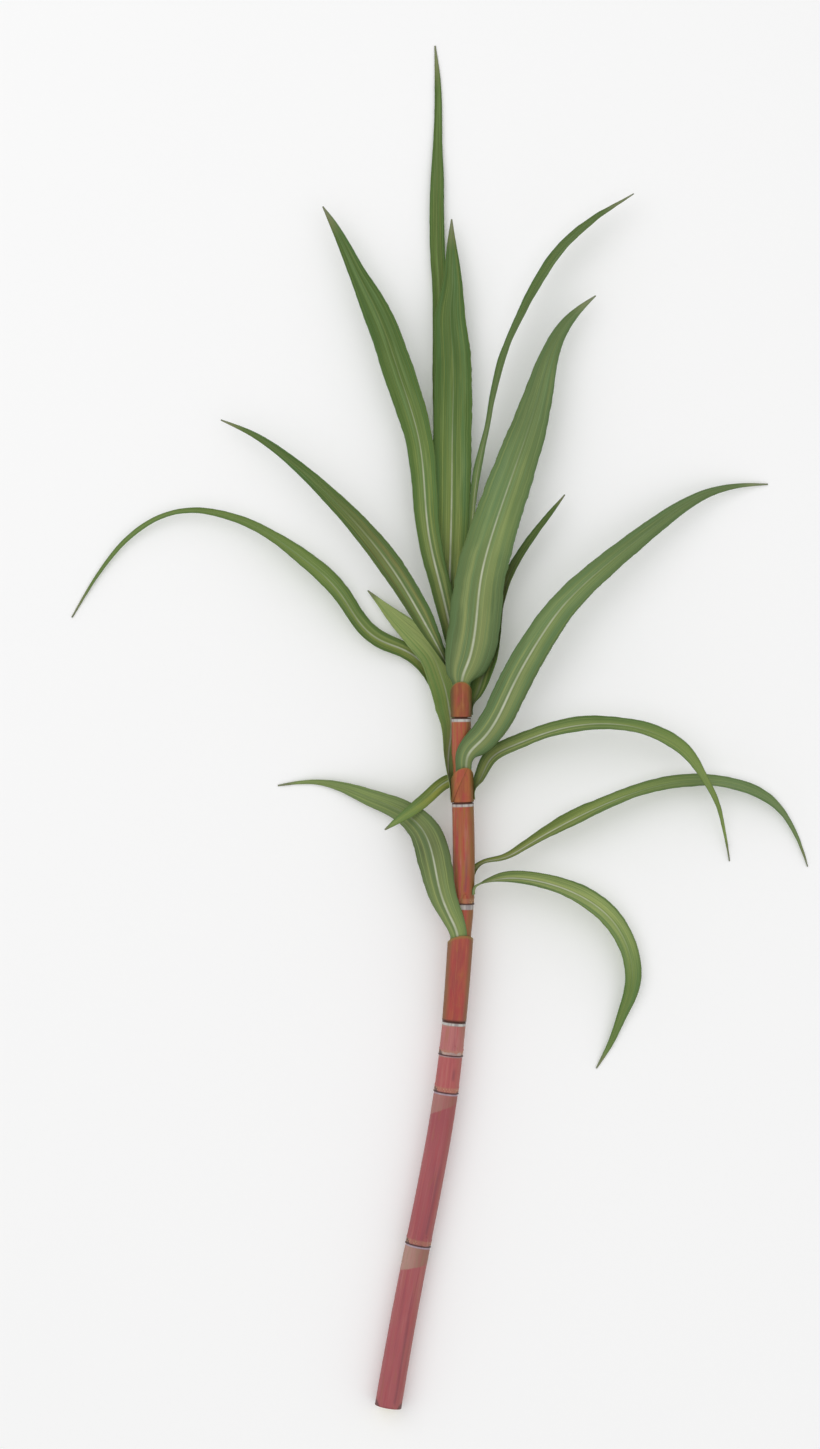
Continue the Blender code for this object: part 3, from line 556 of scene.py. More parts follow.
def make_sheath(node, low, high, radii, lip, lip_side, lap_foot, lap_lip, finish):
    """A sheath from foot to lip. Its outer edge runs from one side at the foot to another at the lip."""
    share = np.linspace(0, 1, SHEATH_ROWS)[:, None] * np.ones((1, SHEATH_SIDES))
    roll = np.linspace(0, 2 * math.pi + SHEATH_LAP, SHEATH_SIDES)[None, :] * np.ones((SHEATH_ROWS, 1))
    start = np.radians(lap_foot + (lap_lip - lap_foot) * share)
    turn = start - roll + SHEATH_LAP
    top = high - lip * (1 - np.cos(turn - math.radians(lip_side))) / 2
    along = low + (top - low) * share
    lapped = ramp(roll, 2 * math.pi - 0.25, 2 * math.pi + 0.05)
    radius = radii[0] + (radii[1] - radii[0]) * share + lapped * (SHEATH_WALL + LAP_GAP)
    radius += 0.0002 * ripples(turn * 4 + share * 3, 5) * share * (1 - share)
    radius += 0.0006 * ramp(share, 0.93, 1.0)
    points = []
    for wall in (0.0, SHEATH_WALL):
        at_edge = 1 - 0.5 * ramp(roll, 2 * math.pi + 0.2, 2 * math.pi + SHEATH_LAP)
        thin = wall * (1 - 0.6 * ramp(share, 0.9, 1.0)) * at_edge
        points.append(sweep_round(along, turn, radius + thin + 0.0001).reshape(-1, 3))
    faces = closed_sheet(SHEATH_ROWS, SHEATH_SIDES)
    margin = ramp(roll, 2 * math.pi + SHEATH_LAP - 0.12, 2 * math.pi + SHEATH_LAP)
    place = np.stack((turn / 2, share, along), axis=-1).reshape(-1, 3)
    named = {
        "sheath_place": np.tile(place, (2, 1)),
        "shaded_flank": np.tile(np.abs(np.cos(turn)).ravel(), 2),
        "margin": np.tile(margin.ravel(), 2),
    }
    sheath = make_piece(node + "_skin", np.concatenate(points), faces, named, finish)
    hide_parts(node)


# The last colour given to each sheath is the painted shade on its sides.
red_sheath = sheath_finish("red sheath", "ab6238", "9a5034", "645020")
make_sheath("sheath_crown", 0.0128, 0.064, (0.0142, CROWN_MOUTH), 0.032, 90, 262, 250,
            sheath_finish("upper red sheath", "985a2e", "8e4a30", "564a1c"))
make_sheath("sheath_upper", -0.1102, -0.060, (0.0151, UPPER_MOUTH), 0.034, 75, 150, 60, red_sheath)
make_sheath("sheath_lower", -0.4272, -0.302, (0.0166, 0.0175), 0.020, 70, 300, 268,
            sheath_finish("lower red sheath", "a8523f", "9a4640", "7c5a38"))

# The leaves: long blades of grass with a stout white midrib that is grooved above and keeled below.
# Each grows from the cane, clasps it at its foot and arches out; fine veins run along it, its
# edges ripple, and its tip has dried. The same stations shape it as shape the solid it stands for.
BLADE_ROWS = 170
BLADE_STRIPS = 28
CLASP_GAP, BLADE_SKIN = 0.0005, 0.0009
REACH = 0.002
MOUTH_WALL = 0.0011
LEAF_LOWEST = 0.0001
TOOTH_START, TOOTH_END, TOOTH_SPACING = 0.10, 0.985, 0.0032
DRY_FROM = 0.965
RIPPLE_LENGTH, RIPPLE_LAG, RIPPLE_END = 0.150, 2.1, 0.91


def steady_curve(at, known_at, values):
    """Smooth values at the places in at, which never swing past the known ones."""
    knots, rows = np.asarray(known_at, float), np.asarray(values, float)
    rises = np.diff(rows, axis=0) / np.diff(knots)[:, None]
    slopes = np.zeros_like(rows)
    product = rises[:-1] * rises[1:]
    slopes[1:-1] = np.where(product > 0, 2 * product / (rises[:-1] + rises[1:] + 1e-12), 0.0)
    slopes[0], slopes[-1] = rises[0], rises[-1]
    span = np.clip(np.searchsorted(knots, at, side="right") - 1, 0, len(knots) - 2)
    gap = np.diff(knots)[span][:, None]
    t = (np.asarray(at) - knots[span])[:, None] / gap
    rest = rows[span + 1] * t ** 2 * (3 - 2 * t) + rows[span] * (1 - t) ** 2 * (1 + 2 * t)
    return rest + gap * (slopes[span] * t * (1 - t) ** 2 - slopes[span + 1] * t ** 2 * (1 - t))


def hug(along, degrees, radius, wrap):
    point = sweep_round(np.array([along]), np.radians([degrees]), np.array([radius]))[0]
    return (*point, 2 * radius * math.radians(wrap), 270 - degrees, math.radians(wrap))


def clasp(along, degrees, layer, wrap):
    """A blade's station that hugs the cane: layer 0 is next to it, wrap is half the angle."""
    step = CLASP_GAP + BLADE_SKIN
    return hug(along, degrees, float(cane_radius(along)) + CLASP_GAP + BLADE_SKIN / 2 + layer * step, wrap)


def outside(along, degrees, mouth, wrap):
    """A station that hugs a sheath from outside."""
    return hug(along, degrees, mouth + MOUTH_WALL + 1.5 * CLASP_GAP + BLADE_SKIN / 2, wrap)


# The greens of the living leaves. A leaf takes three of them, at its foot, middle and upper end, and one for
# its streaks. The darkest moss green and the earth green at a leaf's foot are painted shade where the blade
# leaves the crown, and the moss green in the middle of the low left leaf is painted shade under its crease.
# The lanes run along every blade, from one edge to the other, and darken to both edges as painted shade.
EARTH, MOSS_SHADE, STRAW, PALE = "6a6038", "3e4618", "a8a648", "bcca80"
FRESH, GRASS, GREY_GREEN, DEEP = "8ca054", "6c8440", "7c9060", "4c642c"
COOL_STREAK, LIGHT_STREAK, DARK_STREAK = "5c8250", "80a45c", "4a6434"
EDGE_SHADE, OLIVE_LANE, LIGHT_LANE, DIM_LANE = "3a5824", "889650", "a6ae68", "667c48"


def leaf_finish(name, foot, middle, high, streak, rib_end, rib_colour="c9cdb4", bold=1.0, seed=0.0):
    """Living leaf: green that changes from foot to tip, with painted shade at a dark foot and towards the
    edges, veins, streaks, a pale midrib and a dry tip.
    """
    leaf = Recipe(name, Specular_IOR_Level=0.18)
    vector, (across, share, _) = leaf.place("leaf_place")
    # Painted shade: a dark foot colour, where a leaf has one, stands for the shade where the blade leaves
    # the crown.
    colour = leaf.shades(share, ((0.14, foot), (0.42, middle), (0.72, high), (DRY_FROM - 0.03, high),
                                 (DRY_FROM, "84825c"), (0.995, "8f8578")))
    wide = leaf.noise(leaf.stretch(vector, (2.6, 0.0, 5.0), (seed, 0.0, seed)), 1.0, 3.0, 0.5)
    colour = leaf.mix(leaf.fade(wide, 0.48, 0.66, 0.0, 0.60), colour, streak)
    haze = leaf.noise(leaf.stretch(vector, (3.4, 0.0, 7.0), (seed + 9.0, 0.0, seed)), 1.0, 3.0, 0.5)
    colour = leaf.mix(leaf.fade(haze, 0.54, 0.70, 0.0, 0.50), colour, "6a8658")
    colour = leaf.mix(leaf.fade(haze, 0.30, 0.44, 0.40, 0.0), colour, "8c9a54")
    shift = leaf.noise(leaf.stretch(vector, (0.0, 0.0, 9.0), (seed, 0.0, seed + 5.0)), 1.0, 2.0, 0.5)
    lane = leaf.sum("ADD", leaf.fade(across, -1.0, 1.0), leaf.fade(shift, 0.3, 0.7, -0.07, 0.07))
    # Lanes of tone along the blade; the dark lanes at both edges are painted shade where the blade curls.
    bands = leaf.shades(lane, (
        (0.00, EDGE_SHADE), (0.09, DEEP), (0.20, OLIVE_LANE), (0.33, LIGHT_LANE), (0.50, OLIVE_LANE),
        (0.58, DIM_LANE), (0.68, DIM_LANE), (0.80, LIGHT_LANE), (0.90, DEEP), (1.00, EDGE_SHADE)))
    colour = leaf.mix(leaf.fade(share, 0.15, 0.66, 0.62 * bold, 0.14), colour, bands)
    thin = leaf.noise(leaf.stretch(vector, (11.0, 0.0, 2.2), (seed + 4.0, 0.0, seed)), 1.0, 4.0, 0.6)
    colour = leaf.mix(leaf.fade(thin, 0.50, 0.64, 0.0, 0.60), colour, streak)
    colour = leaf.mix(leaf.fade(thin, 0.32, 0.46, 0.48, 0.0), colour, "9fab5e")
    fine = leaf.noise(leaf.stretch(vector, (44.0, 0.0, 1.5), (seed, 0.0, seed)), 1.0, 3.0, 0.6)
    colour = leaf.mix(leaf.fade(fine, 0.40, 0.58, 0.34, 0.0), colour, "4a6632")
    colour = leaf.mix(leaf.fade(fine, 0.52, 0.70, 0.0, 0.26), colour, "b2bc74")
    spread = leaf.sum("ABSOLUTE", across)
    # Painted shade: the blade darkens towards both edges.
    colour = leaf.mix(leaf.fade(spread, 0.66, 0.98, 0.0, 0.48 * bold), colour, "4a6a32")
    under = leaf.value("under")
    colour = leaf.mix(leaf.times(under, 0.16), colour, "9aa884")
    rib = leaf.value("rib_edge")
    beside = leaf.times(leaf.fade(rib, 1.0, 2.6, 1.0, 0.0), leaf.fade(share, 0.1, rib_end, 0.35, 0.0))
    colour = leaf.mix(beside, colour, "6f7d4c")
    ribbed = leaf.times(leaf.fade(rib, 0.25, 1.20, 1.0, 0.0),
                      leaf.fade(share, rib_end * 0.40, rib_end, 0.90, 0.06))
    ribbed = leaf.times(ribbed, leaf.fade(share, 0.03, 0.13, 0.20, 1.0))
    uneven = leaf.noise(leaf.stretch(vector, (0.0, 0.0, 22.0), (seed, 0.0, seed)), 1.0, 3.0, 0.6)
    ribbed = leaf.times(ribbed, leaf.fade(uneven, 0.35, 0.65, 0.62, 1.0))
    colour = leaf.mix(ribbed, colour, rib_colour)
    rough = leaf.fade(thin, 0.3, 0.7, 0.50, 0.62)
    veins = leaf.sum("SINE", leaf.times(across, 150.0))
    height = leaf.sum("ADD", leaf.times(veins, 0.18), leaf.times(fine, 0.8))
    height = leaf.sum("ADD", height, leaf.times(thin, 0.6))
    return leaf.finish(colour, rough, height, 0.0006)


teeth_points, teeth_ways = [], []


def grow_blade(node, stations, ripple, seed, finish):
    """A leaf blade. Each station: x, y, z of the midrib, width, roll in degrees, curl in radians."""
    rows = np.array(stations, float)
    known_at = np.concatenate(([0.0], np.cumsum(np.linalg.norm(np.diff(rows[:, :3], axis=0), axis=1))))
    length = known_at[-1]
    share = np.linspace(0, 1, BLADE_ROWS) ** 1.25
    at = share * length
    middle = smooth_curve(at, known_at, rows[:, :3])
    width, roll, curl = steady_curve(at, known_at, rows[:, 3:]).T
    width = np.maximum(width, 0.0016)
    forward = unit(smooth_curve(np.minimum(at + REACH, length), known_at, rows[:, :3])
                   - smooth_curve(np.maximum(at - REACH, 0), known_at, rows[:, :3]))
    up = unit(np.array((0.0, 0.0, 1.0)) - forward * forward[:, 2:3])
    side = np.cross(forward, up)
    roll = np.radians(roll)[:, None]
    face = up * np.cos(roll) + side * np.sin(roll)
    side = np.cross(forward, face)
    even = np.linspace(-1, 1, BLADE_STRIPS + 1)
    across = (even * (0.42 + 0.58 * even ** 2))[None, :]
    swell = np.sin(math.pi * np.minimum(share / RIPPLE_END, 1)) ** 0.7
    swell = np.clip(swell, 0, 1)[:, None]
    bend = curl[:, None]
    free = ramp(at, 0.05, 0.12)[:, None]
    wander = [0.028 * ripples(at * 85, seed + k) + 0.014 * ripples(at * 320, seed + 4 + k) for k in (0, 1)]
    edge = 1 + free * np.where(across < 0, wander[0][:, None], wander[1][:, None]) * np.abs(across)
    radius = (width / 2)[:, None] / bend * edge
    wave = np.sin(2 * math.pi * at[:, None] / RIPPLE_LENGTH + np.where(across < 0, 0.0, RIPPLE_LAG))
    flutter = 0.0006 * free * ripples(at[:, None] * 60 + across * 2, seed + 2) * across ** 2
    lift = radius * (1 - np.cos(bend * across)) + ripple * swell * wave * across ** 2 + flutter
    sheet = (middle[:, None] + side[:, None] * (radius * np.sin(bend * across))[..., None]
             + face[:, None] * lift[..., None])
    normal = (face[:, None] * np.cos(bend * across)[..., None]
              - side[:, None] * np.sin(bend * across)[..., None])
    rib_half = (0.0005 + 0.0021 * (1 - share) ** 1.3 * np.minimum(1, width / 0.030))[:, None]
    off_rib = np.abs(across) * (width / 2)[:, None] / rib_half
    stout = np.exp(-(off_rib / 1.1) ** 2)
    keel = stout * (0.0002 + 0.0013 * (1 - share[:, None]) * free) * np.minimum(1, width[:, None] / 0.02)
    groove = stout * 0.0006 * (1 - share[:, None]) * free
    half = 0.00030 - 0.00014 * np.abs(across) ** 6
    upper = sheet + normal * (half - groove)[..., None]
    lower = sheet - normal * (half + keel)[..., None]
    faces = closed_sheet(BLADE_ROWS, BLADE_STRIPS + 1, turned=True)
    corners = np.concatenate((upper.reshape(-1, 3), lower.reshape(-1, 3)))
    corners[:, 2] = np.maximum(corners[:, 2], LEAF_LOWEST)
    spread = np.broadcast_to(across, off_rib.shape)
    place = np.stack((spread, np.broadcast_to(share[:, None], spread.shape),
                      np.broadcast_to(at[:, None], spread.shape)), axis=-1).reshape(-1, 3)
    named = {
        "leaf_place": np.tile(place, (2, 1)),
        "rib_edge": np.tile(off_rib.ravel(), 2),
        "under": np.repeat((0.0, 1.0), off_rib.size),
    }
    blade = make_piece(node + "_leaf", corners, faces, named, finish)
    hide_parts(node)
    for column, way in ((0, -1), (-1, 1)):
        places = np.arange(TOOTH_START * length, TOOTH_END * length, TOOTH_SPACING)
        margin = np.column_stack([np.interp(places, at, sheet[:, column, k]) for k in range(3)])
        lean = np.column_stack([np.interp(places, at, (way * side + 1.6 * forward)[:, k]) for k in range(3)])
        teeth_points.append(margin)
        teeth_ways.append(lean)


# The crown: seven leaves that leave the cane inside and beside the top sheath.
grow_blade("blade_front", (
    clasp(0.015, 88, 2, 80), clasp(0.036, 88, 2, 80), clasp(0.058, 88, 2, 80),
    (0.0325, 0.071, 0.0625, 0.055, 188, 1.02), (0.0395, 0.090, 0.0650, 0.073, 190, 0.78),
    (0.048, 0.123, 0.067, 0.081, 188, 0.68), (0.059, 0.215, 0.068, 0.076, 184, 0.56),
    (0.073, 0.270, 0.066, 0.071, 180, 0.48), (0.113, 0.387, 0.058, 0.060, 180, 0.38),
    (0.142, 0.478, 0.049, 0.043, 180, 0.30), (0.158, 0.535, 0.042, 0.028, 180, 0.25),
    (0.186, 0.587, 0.035, 0.016, 180, 0.20), (0.226, 0.624, 0.028, 0.002, 180, 0.15),
), 0.0015, 20, leaf_finish("front leaf", MOSS_SHADE, GRASS, DEEP, COOL_STREAK, 0.72, seed=1.0))
grow_blade("blade_left_front", (
    clasp(0.018, 188, 1, 27), clasp(0.038, 188, 1, 27), clasp(0.056, 189, 1, 26),
    (0.0132, 0.080, 0.0415, 0.012, 68, 0.40), (0.002, 0.104, 0.0475, 0.017, 42, 0.40),
    (-0.032, 0.166, 0.056, 0.034, 22, 0.50), (-0.062, 0.216, 0.058, 0.037, 15, 0.45),
    (-0.136, 0.308, 0.057, 0.028, 8, 0.35), (-0.207, 0.376, 0.048, 0.016, 5, 0.30),
    (-0.274, 0.424, 0.034, 0.008, 5, 0.20), (-0.318, 0.444, 0.024, 0.002, 5, 0.15),
), 0.0010, 23, leaf_finish("left front leaf", EARTH, EARTH, DEEP, COOL_STREAK, 0.62, seed=5.0))
grow_blade("blade_left_upright", (
    clasp(0.020, 195, 0, 34), clasp(0.040, 195, 0, 34), clasp(0.060, 195, 0, 34),
    (0.0205, 0.106, 0.036, 0.022, 20, 0.45), (0.013, 0.150, 0.036, 0.027, 10, 0.40),
    (0.000, 0.205, 0.037, 0.031, 5, 0.38), (-0.016, 0.275, 0.038, 0.034, 4, 0.35),
    (-0.030, 0.412, 0.039, 0.040, 0, 0.35), (-0.056, 0.500, 0.040, 0.046, 0, 0.35),
    (-0.089, 0.592, 0.040, 0.041, 0, 0.30), (-0.122, 0.660, 0.038, 0.024, 0, 0.25),
    (-0.152, 0.722, 0.034, 0.012, 0, 0.20), (-0.170, 0.753, 0.031, 0.002, 0, 0.15),
), 0.0012, 26, leaf_finish("left upright leaf", EARTH, GRASS, DEEP, COOL_STREAK, 0.75, seed=9.0))
grow_blade("blade_thin_arch", (
    clasp(0.020, 330, 0, 38), clasp(0.040, 330, 0, 38), clasp(0.060, 330, 0, 38),
    (0.042, 0.120, 0.042, 0.018, -58, 0.50), (0.042, 0.200, 0.043, 0.018, -58, 0.35),
    (0.047, 0.300, 0.043, 0.018, -58, 0.30), (0.056, 0.376, 0.044, 0.018, -58, 0.30),
    (0.069, 0.434, 0.046, 0.016, -58, 0.30), (0.094, 0.542, 0.047, 0.018, -58, 0.30),
    (0.123, 0.605, 0.047, 0.023, -55, 0.30), (0.175, 0.690, 0.044, 0.024, -52, 0.25),
    (0.225, 0.735, 0.040, 0.015, -50, 0.20), (0.281, 0.771, 0.034, 0.002, -50, 0.15),
), 0.0010, 29, leaf_finish("thin arching leaf", EARTH, GREY_GREEN, DEEP, COOL_STREAK, 0.60, seed=13.0))
grow_blade("blade_upright", (
    clasp(0.020, 270, 1, 36), clasp(0.040, 270, 1, 36), clasp(0.058, 270, 1, 36),
    (0.024, 0.106, 0.026, 0.024, 0, 0.50), (0.015, 0.175, 0.024, 0.037, 0, 0.42),
    (0.015, 0.250, 0.025, 0.052, 0, 0.38), (0.017, 0.330, 0.027, 0.056, 0, 0.35),
    (0.018, 0.430, 0.028, 0.057, 0, 0.35), (0.018, 0.545, 0.028, 0.052, 0, 0.32),
    (0.015, 0.599, 0.027, 0.043, 0, 0.30), (0.018, 0.640, 0.026, 0.030, 0, 0.28),
    (0.017, 0.697, 0.023, 0.014, 0, 0.22), (0.017, 0.736, 0.020, 0.002, 0, 0.15),
), 0.0015, 32, leaf_finish("upright leaf", STRAW, GRASS, DEEP, COOL_STREAK, 0.74, seed=17.0))
grow_blade("blade_tallest", (
    clasp(0.020, 270, 2, 58), clasp(0.036, 270, 2, 58), clasp(0.052, 270, 2, 56),
    (0.026, 0.106, 0.0185, 0.025, 0, 0.70), (0.018, 0.200, 0.014, 0.025, 0, 0.55),
    (0.008, 0.330, 0.013, 0.025, 0, 0.45), (0.001, 0.500, 0.011, 0.024, 0, 0.40),
    (-0.001, 0.640, 0.009, 0.021, 0, 0.35), (-0.004, 0.706, 0.008, 0.022, 0, 0.32),
    (-0.004, 0.787, 0.006, 0.020, 0, 0.30), (-0.003, 0.854, 0.004, 0.013, 0, 0.25),
    (-0.003, 0.935, 0.002, 0.009, 0, 0.20), (-0.007, 0.991, 0.001, 0.002, 0, 0.15),
), 0.0006, 35, leaf_finish("tallest leaf", PALE, FRESH, DEEP, LIGHT_STREAK, 0.70, seed=21.0))
grow_blade("blade_short_dark", (
    outside(0.016, 335, CROWN_MOUTH, 32), outside(0.026, 335, CROWN_MOUTH, 32),
    (0.0535, 0.046, 0.0365, 0.026, -42, 0.55), (0.061, 0.068, 0.0340, 0.034, -38, 0.50),
    (0.071, 0.098, 0.033, 0.036, -38, 0.45), (0.080, 0.135, 0.035, 0.028, -42, 0.40),
    (0.0885, 0.180, 0.038, 0.018, -48, 0.35), (0.101, 0.220, 0.040, 0.017, -45, 0.30),
    (0.126, 0.263, 0.040, 0.015, -40, 0.25), (0.162, 0.311, 0.035, 0.008, -35, 0.20),
    (0.181, 0.335, 0.032, 0.002, -35, 0.15),
), 0.0008, 38, leaf_finish("short dark leaf", GRASS, EARTH, DEEP, DARK_STREAK, 0.80, "8d9474",
                           seed=25.0))

# The leaves of the joint below the crown: a broad one in front, an arch to each side, and a broad
# one and a short drooping one on the left.
grow_blade("blade_right_broad", (
    clasp(-0.107, 66, 0.25, 60), clasp(-0.086, 66, 0.25, 64), clasp(-0.060, 65, 0.25, 66),
    (0.0400, -0.043, 0.0625, 0.038, 198, 0.95), (0.059, -0.021, 0.0665, 0.045, 191, 0.68),
    (0.102, 0.052, 0.067, 0.049, 180, 0.55), (0.146, 0.130, 0.067, 0.045, 180, 0.42),
    (0.173, 0.168, 0.065, 0.041, 180, 0.38), (0.233, 0.227, 0.058, 0.034, 180, 0.35),
    (0.296, 0.278, 0.047, 0.027, 180, 0.30), (0.345, 0.314, 0.036, 0.020, 180, 0.25),
    (0.380, 0.334, 0.027, 0.014, 180, 0.20), (0.432, 0.349, 0.012, 0.007, 180, 0.15),
    (0.478, 0.352, 0.001, 0.002, 180, 0.15),
), 0.0013, 41, leaf_finish("broad right leaf", MOSS_SHADE, GRASS, DEEP, COOL_STREAK, 0.66, seed=29.0))
grow_blade("blade_upper_arch", (
    outside(-0.107, 347, UPPER_MOUTH, 26), outside(-0.096, 347, UPPER_MOUTH, 26),
    (0.0580, -0.078, 0.038, 0.026, -56, 0.50), (0.0735, -0.048, 0.039, 0.033, -52, 0.45),
    (0.107, -0.028, 0.042, 0.036, -52, 0.42), (0.157, -0.009, 0.048, 0.034, -52, 0.38),
    (0.239, 0.003, 0.053, 0.032, -52, 0.35), (0.316, -0.013, 0.054, 0.030, -48, 0.30),
    (0.353, -0.036, 0.054, 0.026, -45, 0.25), (0.380, -0.072, 0.050, 0.016, -40, 0.22),
    (0.401, -0.112, 0.037, 0.009, -35, 0.20), (0.413, -0.151, 0.015, 0.005, -30, 0.18),
    (0.422, -0.197, 0.001, 0.002, -30, 0.15),
), 0.0010, 44, leaf_finish("upper arching leaf", PALE, GRASS, FRESH, COOL_STREAK, 0.64, seed=33.0))
grow_blade("blade_left_arch", (
    outside(-0.107, 294, UPPER_MOUTH, 22), outside(-0.096, 294, UPPER_MOUTH, 22),
    (0.0335, -0.070, 0.0140, 0.020, 4, 0.32), (0.0235, -0.032, 0.0108, 0.026, 10, 0.35),
    (0.0165, 0.006, 0.0095, 0.026, 10, 0.32), (0.0080, 0.036, 0.0090, 0.026, 10, 0.30),
    (-0.0080, 0.068, 0.0090, 0.025, 12, 0.30), (-0.0290, 0.095, 0.0100, 0.025, 14, 0.30),
    (-0.0560, 0.112, 0.0130, 0.025, 18, 0.32), (-0.0860, 0.124, 0.0180, 0.027, 26, 0.34),
    (-0.1080, 0.140, 0.0240, 0.030, 34, 0.34), (-0.145, 0.192, 0.032, 0.034, 40, 0.34),
    (-0.206, 0.248, 0.034, 0.029, 40, 0.32), (-0.262, 0.286, 0.030, 0.018, 38, 0.28),
    (-0.322, 0.308, 0.024, 0.012, 34, 0.25), (-0.382, 0.311, 0.018, 0.009, 30, 0.22),
    (-0.435, 0.288, 0.012, 0.008, 25, 0.20), (-0.486, 0.237, 0.006, 0.006, 20, 0.18),
    (-0.536, 0.158, 0.001, 0.002, 15, 0.15),
), 0.0010, 47, leaf_finish("left arching leaf", STRAW, FRESH, GRASS, COOL_STREAK, 0.60, seed=37.0))
# Its foot is painted as pale as its upper end: painted light on a foot that lies turned aside in shade.
grow_blade("blade_left_broad", (
    outside(-0.107, 194, UPPER_MOUTH, 26), outside(-0.096, 194, UPPER_MOUTH, 26),
    (0.0120, -0.066, 0.0350, 0.026, 62, 0.50), (0.0128, -0.035, 0.0292, 0.031, 43, 0.50),
    (0.0165, 0.000, 0.0248, 0.037, 25, 0.42), (0.0128, 0.028, 0.0220, 0.044, 16, 0.36),
    (0.0080, 0.052, 0.0205, 0.045, 12, 0.34), (0.0003, 0.076, 0.0200, 0.044, 10, 0.32),
    (-0.0100, 0.101, 0.0200, 0.042, 8, 0.30), (-0.0276, 0.122, 0.0200, 0.038, 8, 0.28),
    (-0.050, 0.143, 0.019, 0.030, 8, 0.26), (-0.070, 0.162, 0.017, 0.020, 8, 0.22),
    (-0.088, 0.180, 0.015, 0.010, 8, 0.20), (-0.105, 0.197, 0.012, 0.002, 8, 0.15),
), 0.0010, 59, leaf_finish("broad left leaf", PALE, FRESH, PALE, LIGHT_STREAK, 0.70, bold=0.35, seed=53.0))
grow_blade("blade_left_down", (
    clasp(-0.048, 270, 0.3, 24), clasp(-0.056, 270, 0.8, 23),
    (0.0262, -0.0710, 0.0228, 0.013, 0, 0.22), (0.0087, -0.0815, 0.0208, 0.019, 0, 0.22),
    (-0.0164, -0.102, 0.0330, 0.019, 0, 0.22), (-0.0413, -0.122, 0.0490, 0.017, 0, 0.22),
    (-0.062, -0.137, 0.057, 0.010, 0, 0.20), (-0.080, -0.150, 0.060, 0.002, 0, 0.15),
), 0.0004, 62, leaf_finish("down left leaf", STRAW, STRAW, FRESH, COOL_STREAK, 0.50, seed=57.0))

# The lower leaves: two arches from the right of one bare joint, and a broad left leaf whose sheath is red.
grow_blade("blade_long_arch", (
    clasp(-0.243, 300, 0.1, 28), clasp(-0.232, 302, 0.1, 28), clasp(-0.221, 306, 0.1, 28),
    (0.062, -0.199, 0.0225, 0.013, -66, 0.45), (0.088, -0.193, 0.024, 0.017, -64, 0.42),
    (0.119, -0.178, 0.027, 0.0235, -58, 0.40), (0.145, -0.162, 0.030, 0.0285, -56, 0.38),
    (0.200, -0.132, 0.034, 0.034, -54, 0.36), (0.302, -0.091, 0.030, 0.030, -54, 0.34),
    (0.390, -0.080, 0.023, 0.028, -52, 0.32), (0.439, -0.089, 0.021, 0.026, -50, 0.28),
    (0.482, -0.110, 0.015, 0.018, -45, 0.25), (0.507, -0.138, 0.009, 0.010, -40, 0.20),
    (0.536, -0.205, 0.001, 0.002, -35, 0.15),
), 0.0010, 50, leaf_finish("long arching leaf", STRAW, FRESH, GREY_GREEN, COOL_STREAK, 0.62, seed=41.0))
grow_blade("blade_low_arch", (
    clasp(-0.243, 375, 0.2, 24), clasp(-0.236, 375, 0.2, 24),
    (0.068, -0.226, 0.044, 0.022, -80, 0.42), (0.093, -0.221, 0.044, 0.028, -62, 0.45),
    (0.126, -0.222, 0.045, 0.032, -54, 0.40), (0.163, -0.230, 0.045, 0.036, -50, 0.36),
    (0.208, -0.249, 0.041, 0.038, -44, 0.34), (0.250, -0.283, 0.034, 0.037, -38, 0.32),
    (0.274, -0.328, 0.026, 0.033, -34, 0.30), (0.278, -0.380, 0.018, 0.026, -30, 0.26),
    (0.265, -0.420, 0.012, 0.017, -28, 0.22), (0.249, -0.460, 0.006, 0.010, -25, 0.20),
    (0.228, -0.499, 0.001, 0.002, -20, 0.15),
), 0.0010, 53, leaf_finish("low arching leaf", PALE, PALE, GRASS, COOL_STREAK, 0.70, seed=45.0))
grow_blade("blade_left_low", (
    clasp(-0.352, 106, 0.2, 46), clasp(-0.327, 106, 0.2, 46), clasp(-0.305, 106, 0.2, 50),
    (0.0140, -0.274, 0.0585, 0.038, 158, 0.76), (0.0007, -0.240, 0.060, 0.045, 166, 0.62),
    (-0.010, -0.190, 0.060, 0.051, 172, 0.50), (-0.024, -0.152, 0.050, 0.046, 172, 0.42),
    (-0.052, -0.126, 0.033, 0.036, 170, 0.38), (-0.106, -0.103, 0.019, 0.025, 165, 0.32),
    (-0.140, -0.090, 0.012, 0.016, 165, 0.28), (-0.178, -0.082, 0.006, 0.008, 165, 0.22),
    (-0.236, -0.087, 0.001, 0.002, 170, 0.15),
), 0.0010, 56, leaf_finish("left low leaf", FRESH, MOSS_SHADE, FRESH, DARK_STREAK, 0.66, bold=0.55, seed=49.0))

# The saw teeth on the edges of every leaf: stiff and tiny, they lean towards the leaf's tip.
# Geometry Nodes set a thin three-sided spike on each place along the two edges.
TOOTH_LENGTH = 0.0010


def spike_tree(name, finish):
    """Geometry Nodes that put a three-sided spike on each corner, along the corner's outward value."""
    tree = scatter_tree(name, finish, 1.0)
    bump = next(n for n in tree.nodes if n.bl_idname == "GeometryNodeMeshIcoSphere")
    shape = next(n for n in tree.nodes if n.bl_idname == "GeometryNodeTransform")
    spike = tree.nodes.new("GeometryNodeMeshCone")
    spike.inputs["Vertices"].default_value = 3
    spike.inputs["Radius Bottom"].default_value = 0.28
    spike.inputs["Radius Top"].default_value = 0.0
    spike.inputs["Depth"].default_value = 1.0
    tree.links.new(spike.outputs["Mesh"], shape.inputs["Geometry"])
    tree.nodes.remove(bump)
    return tree


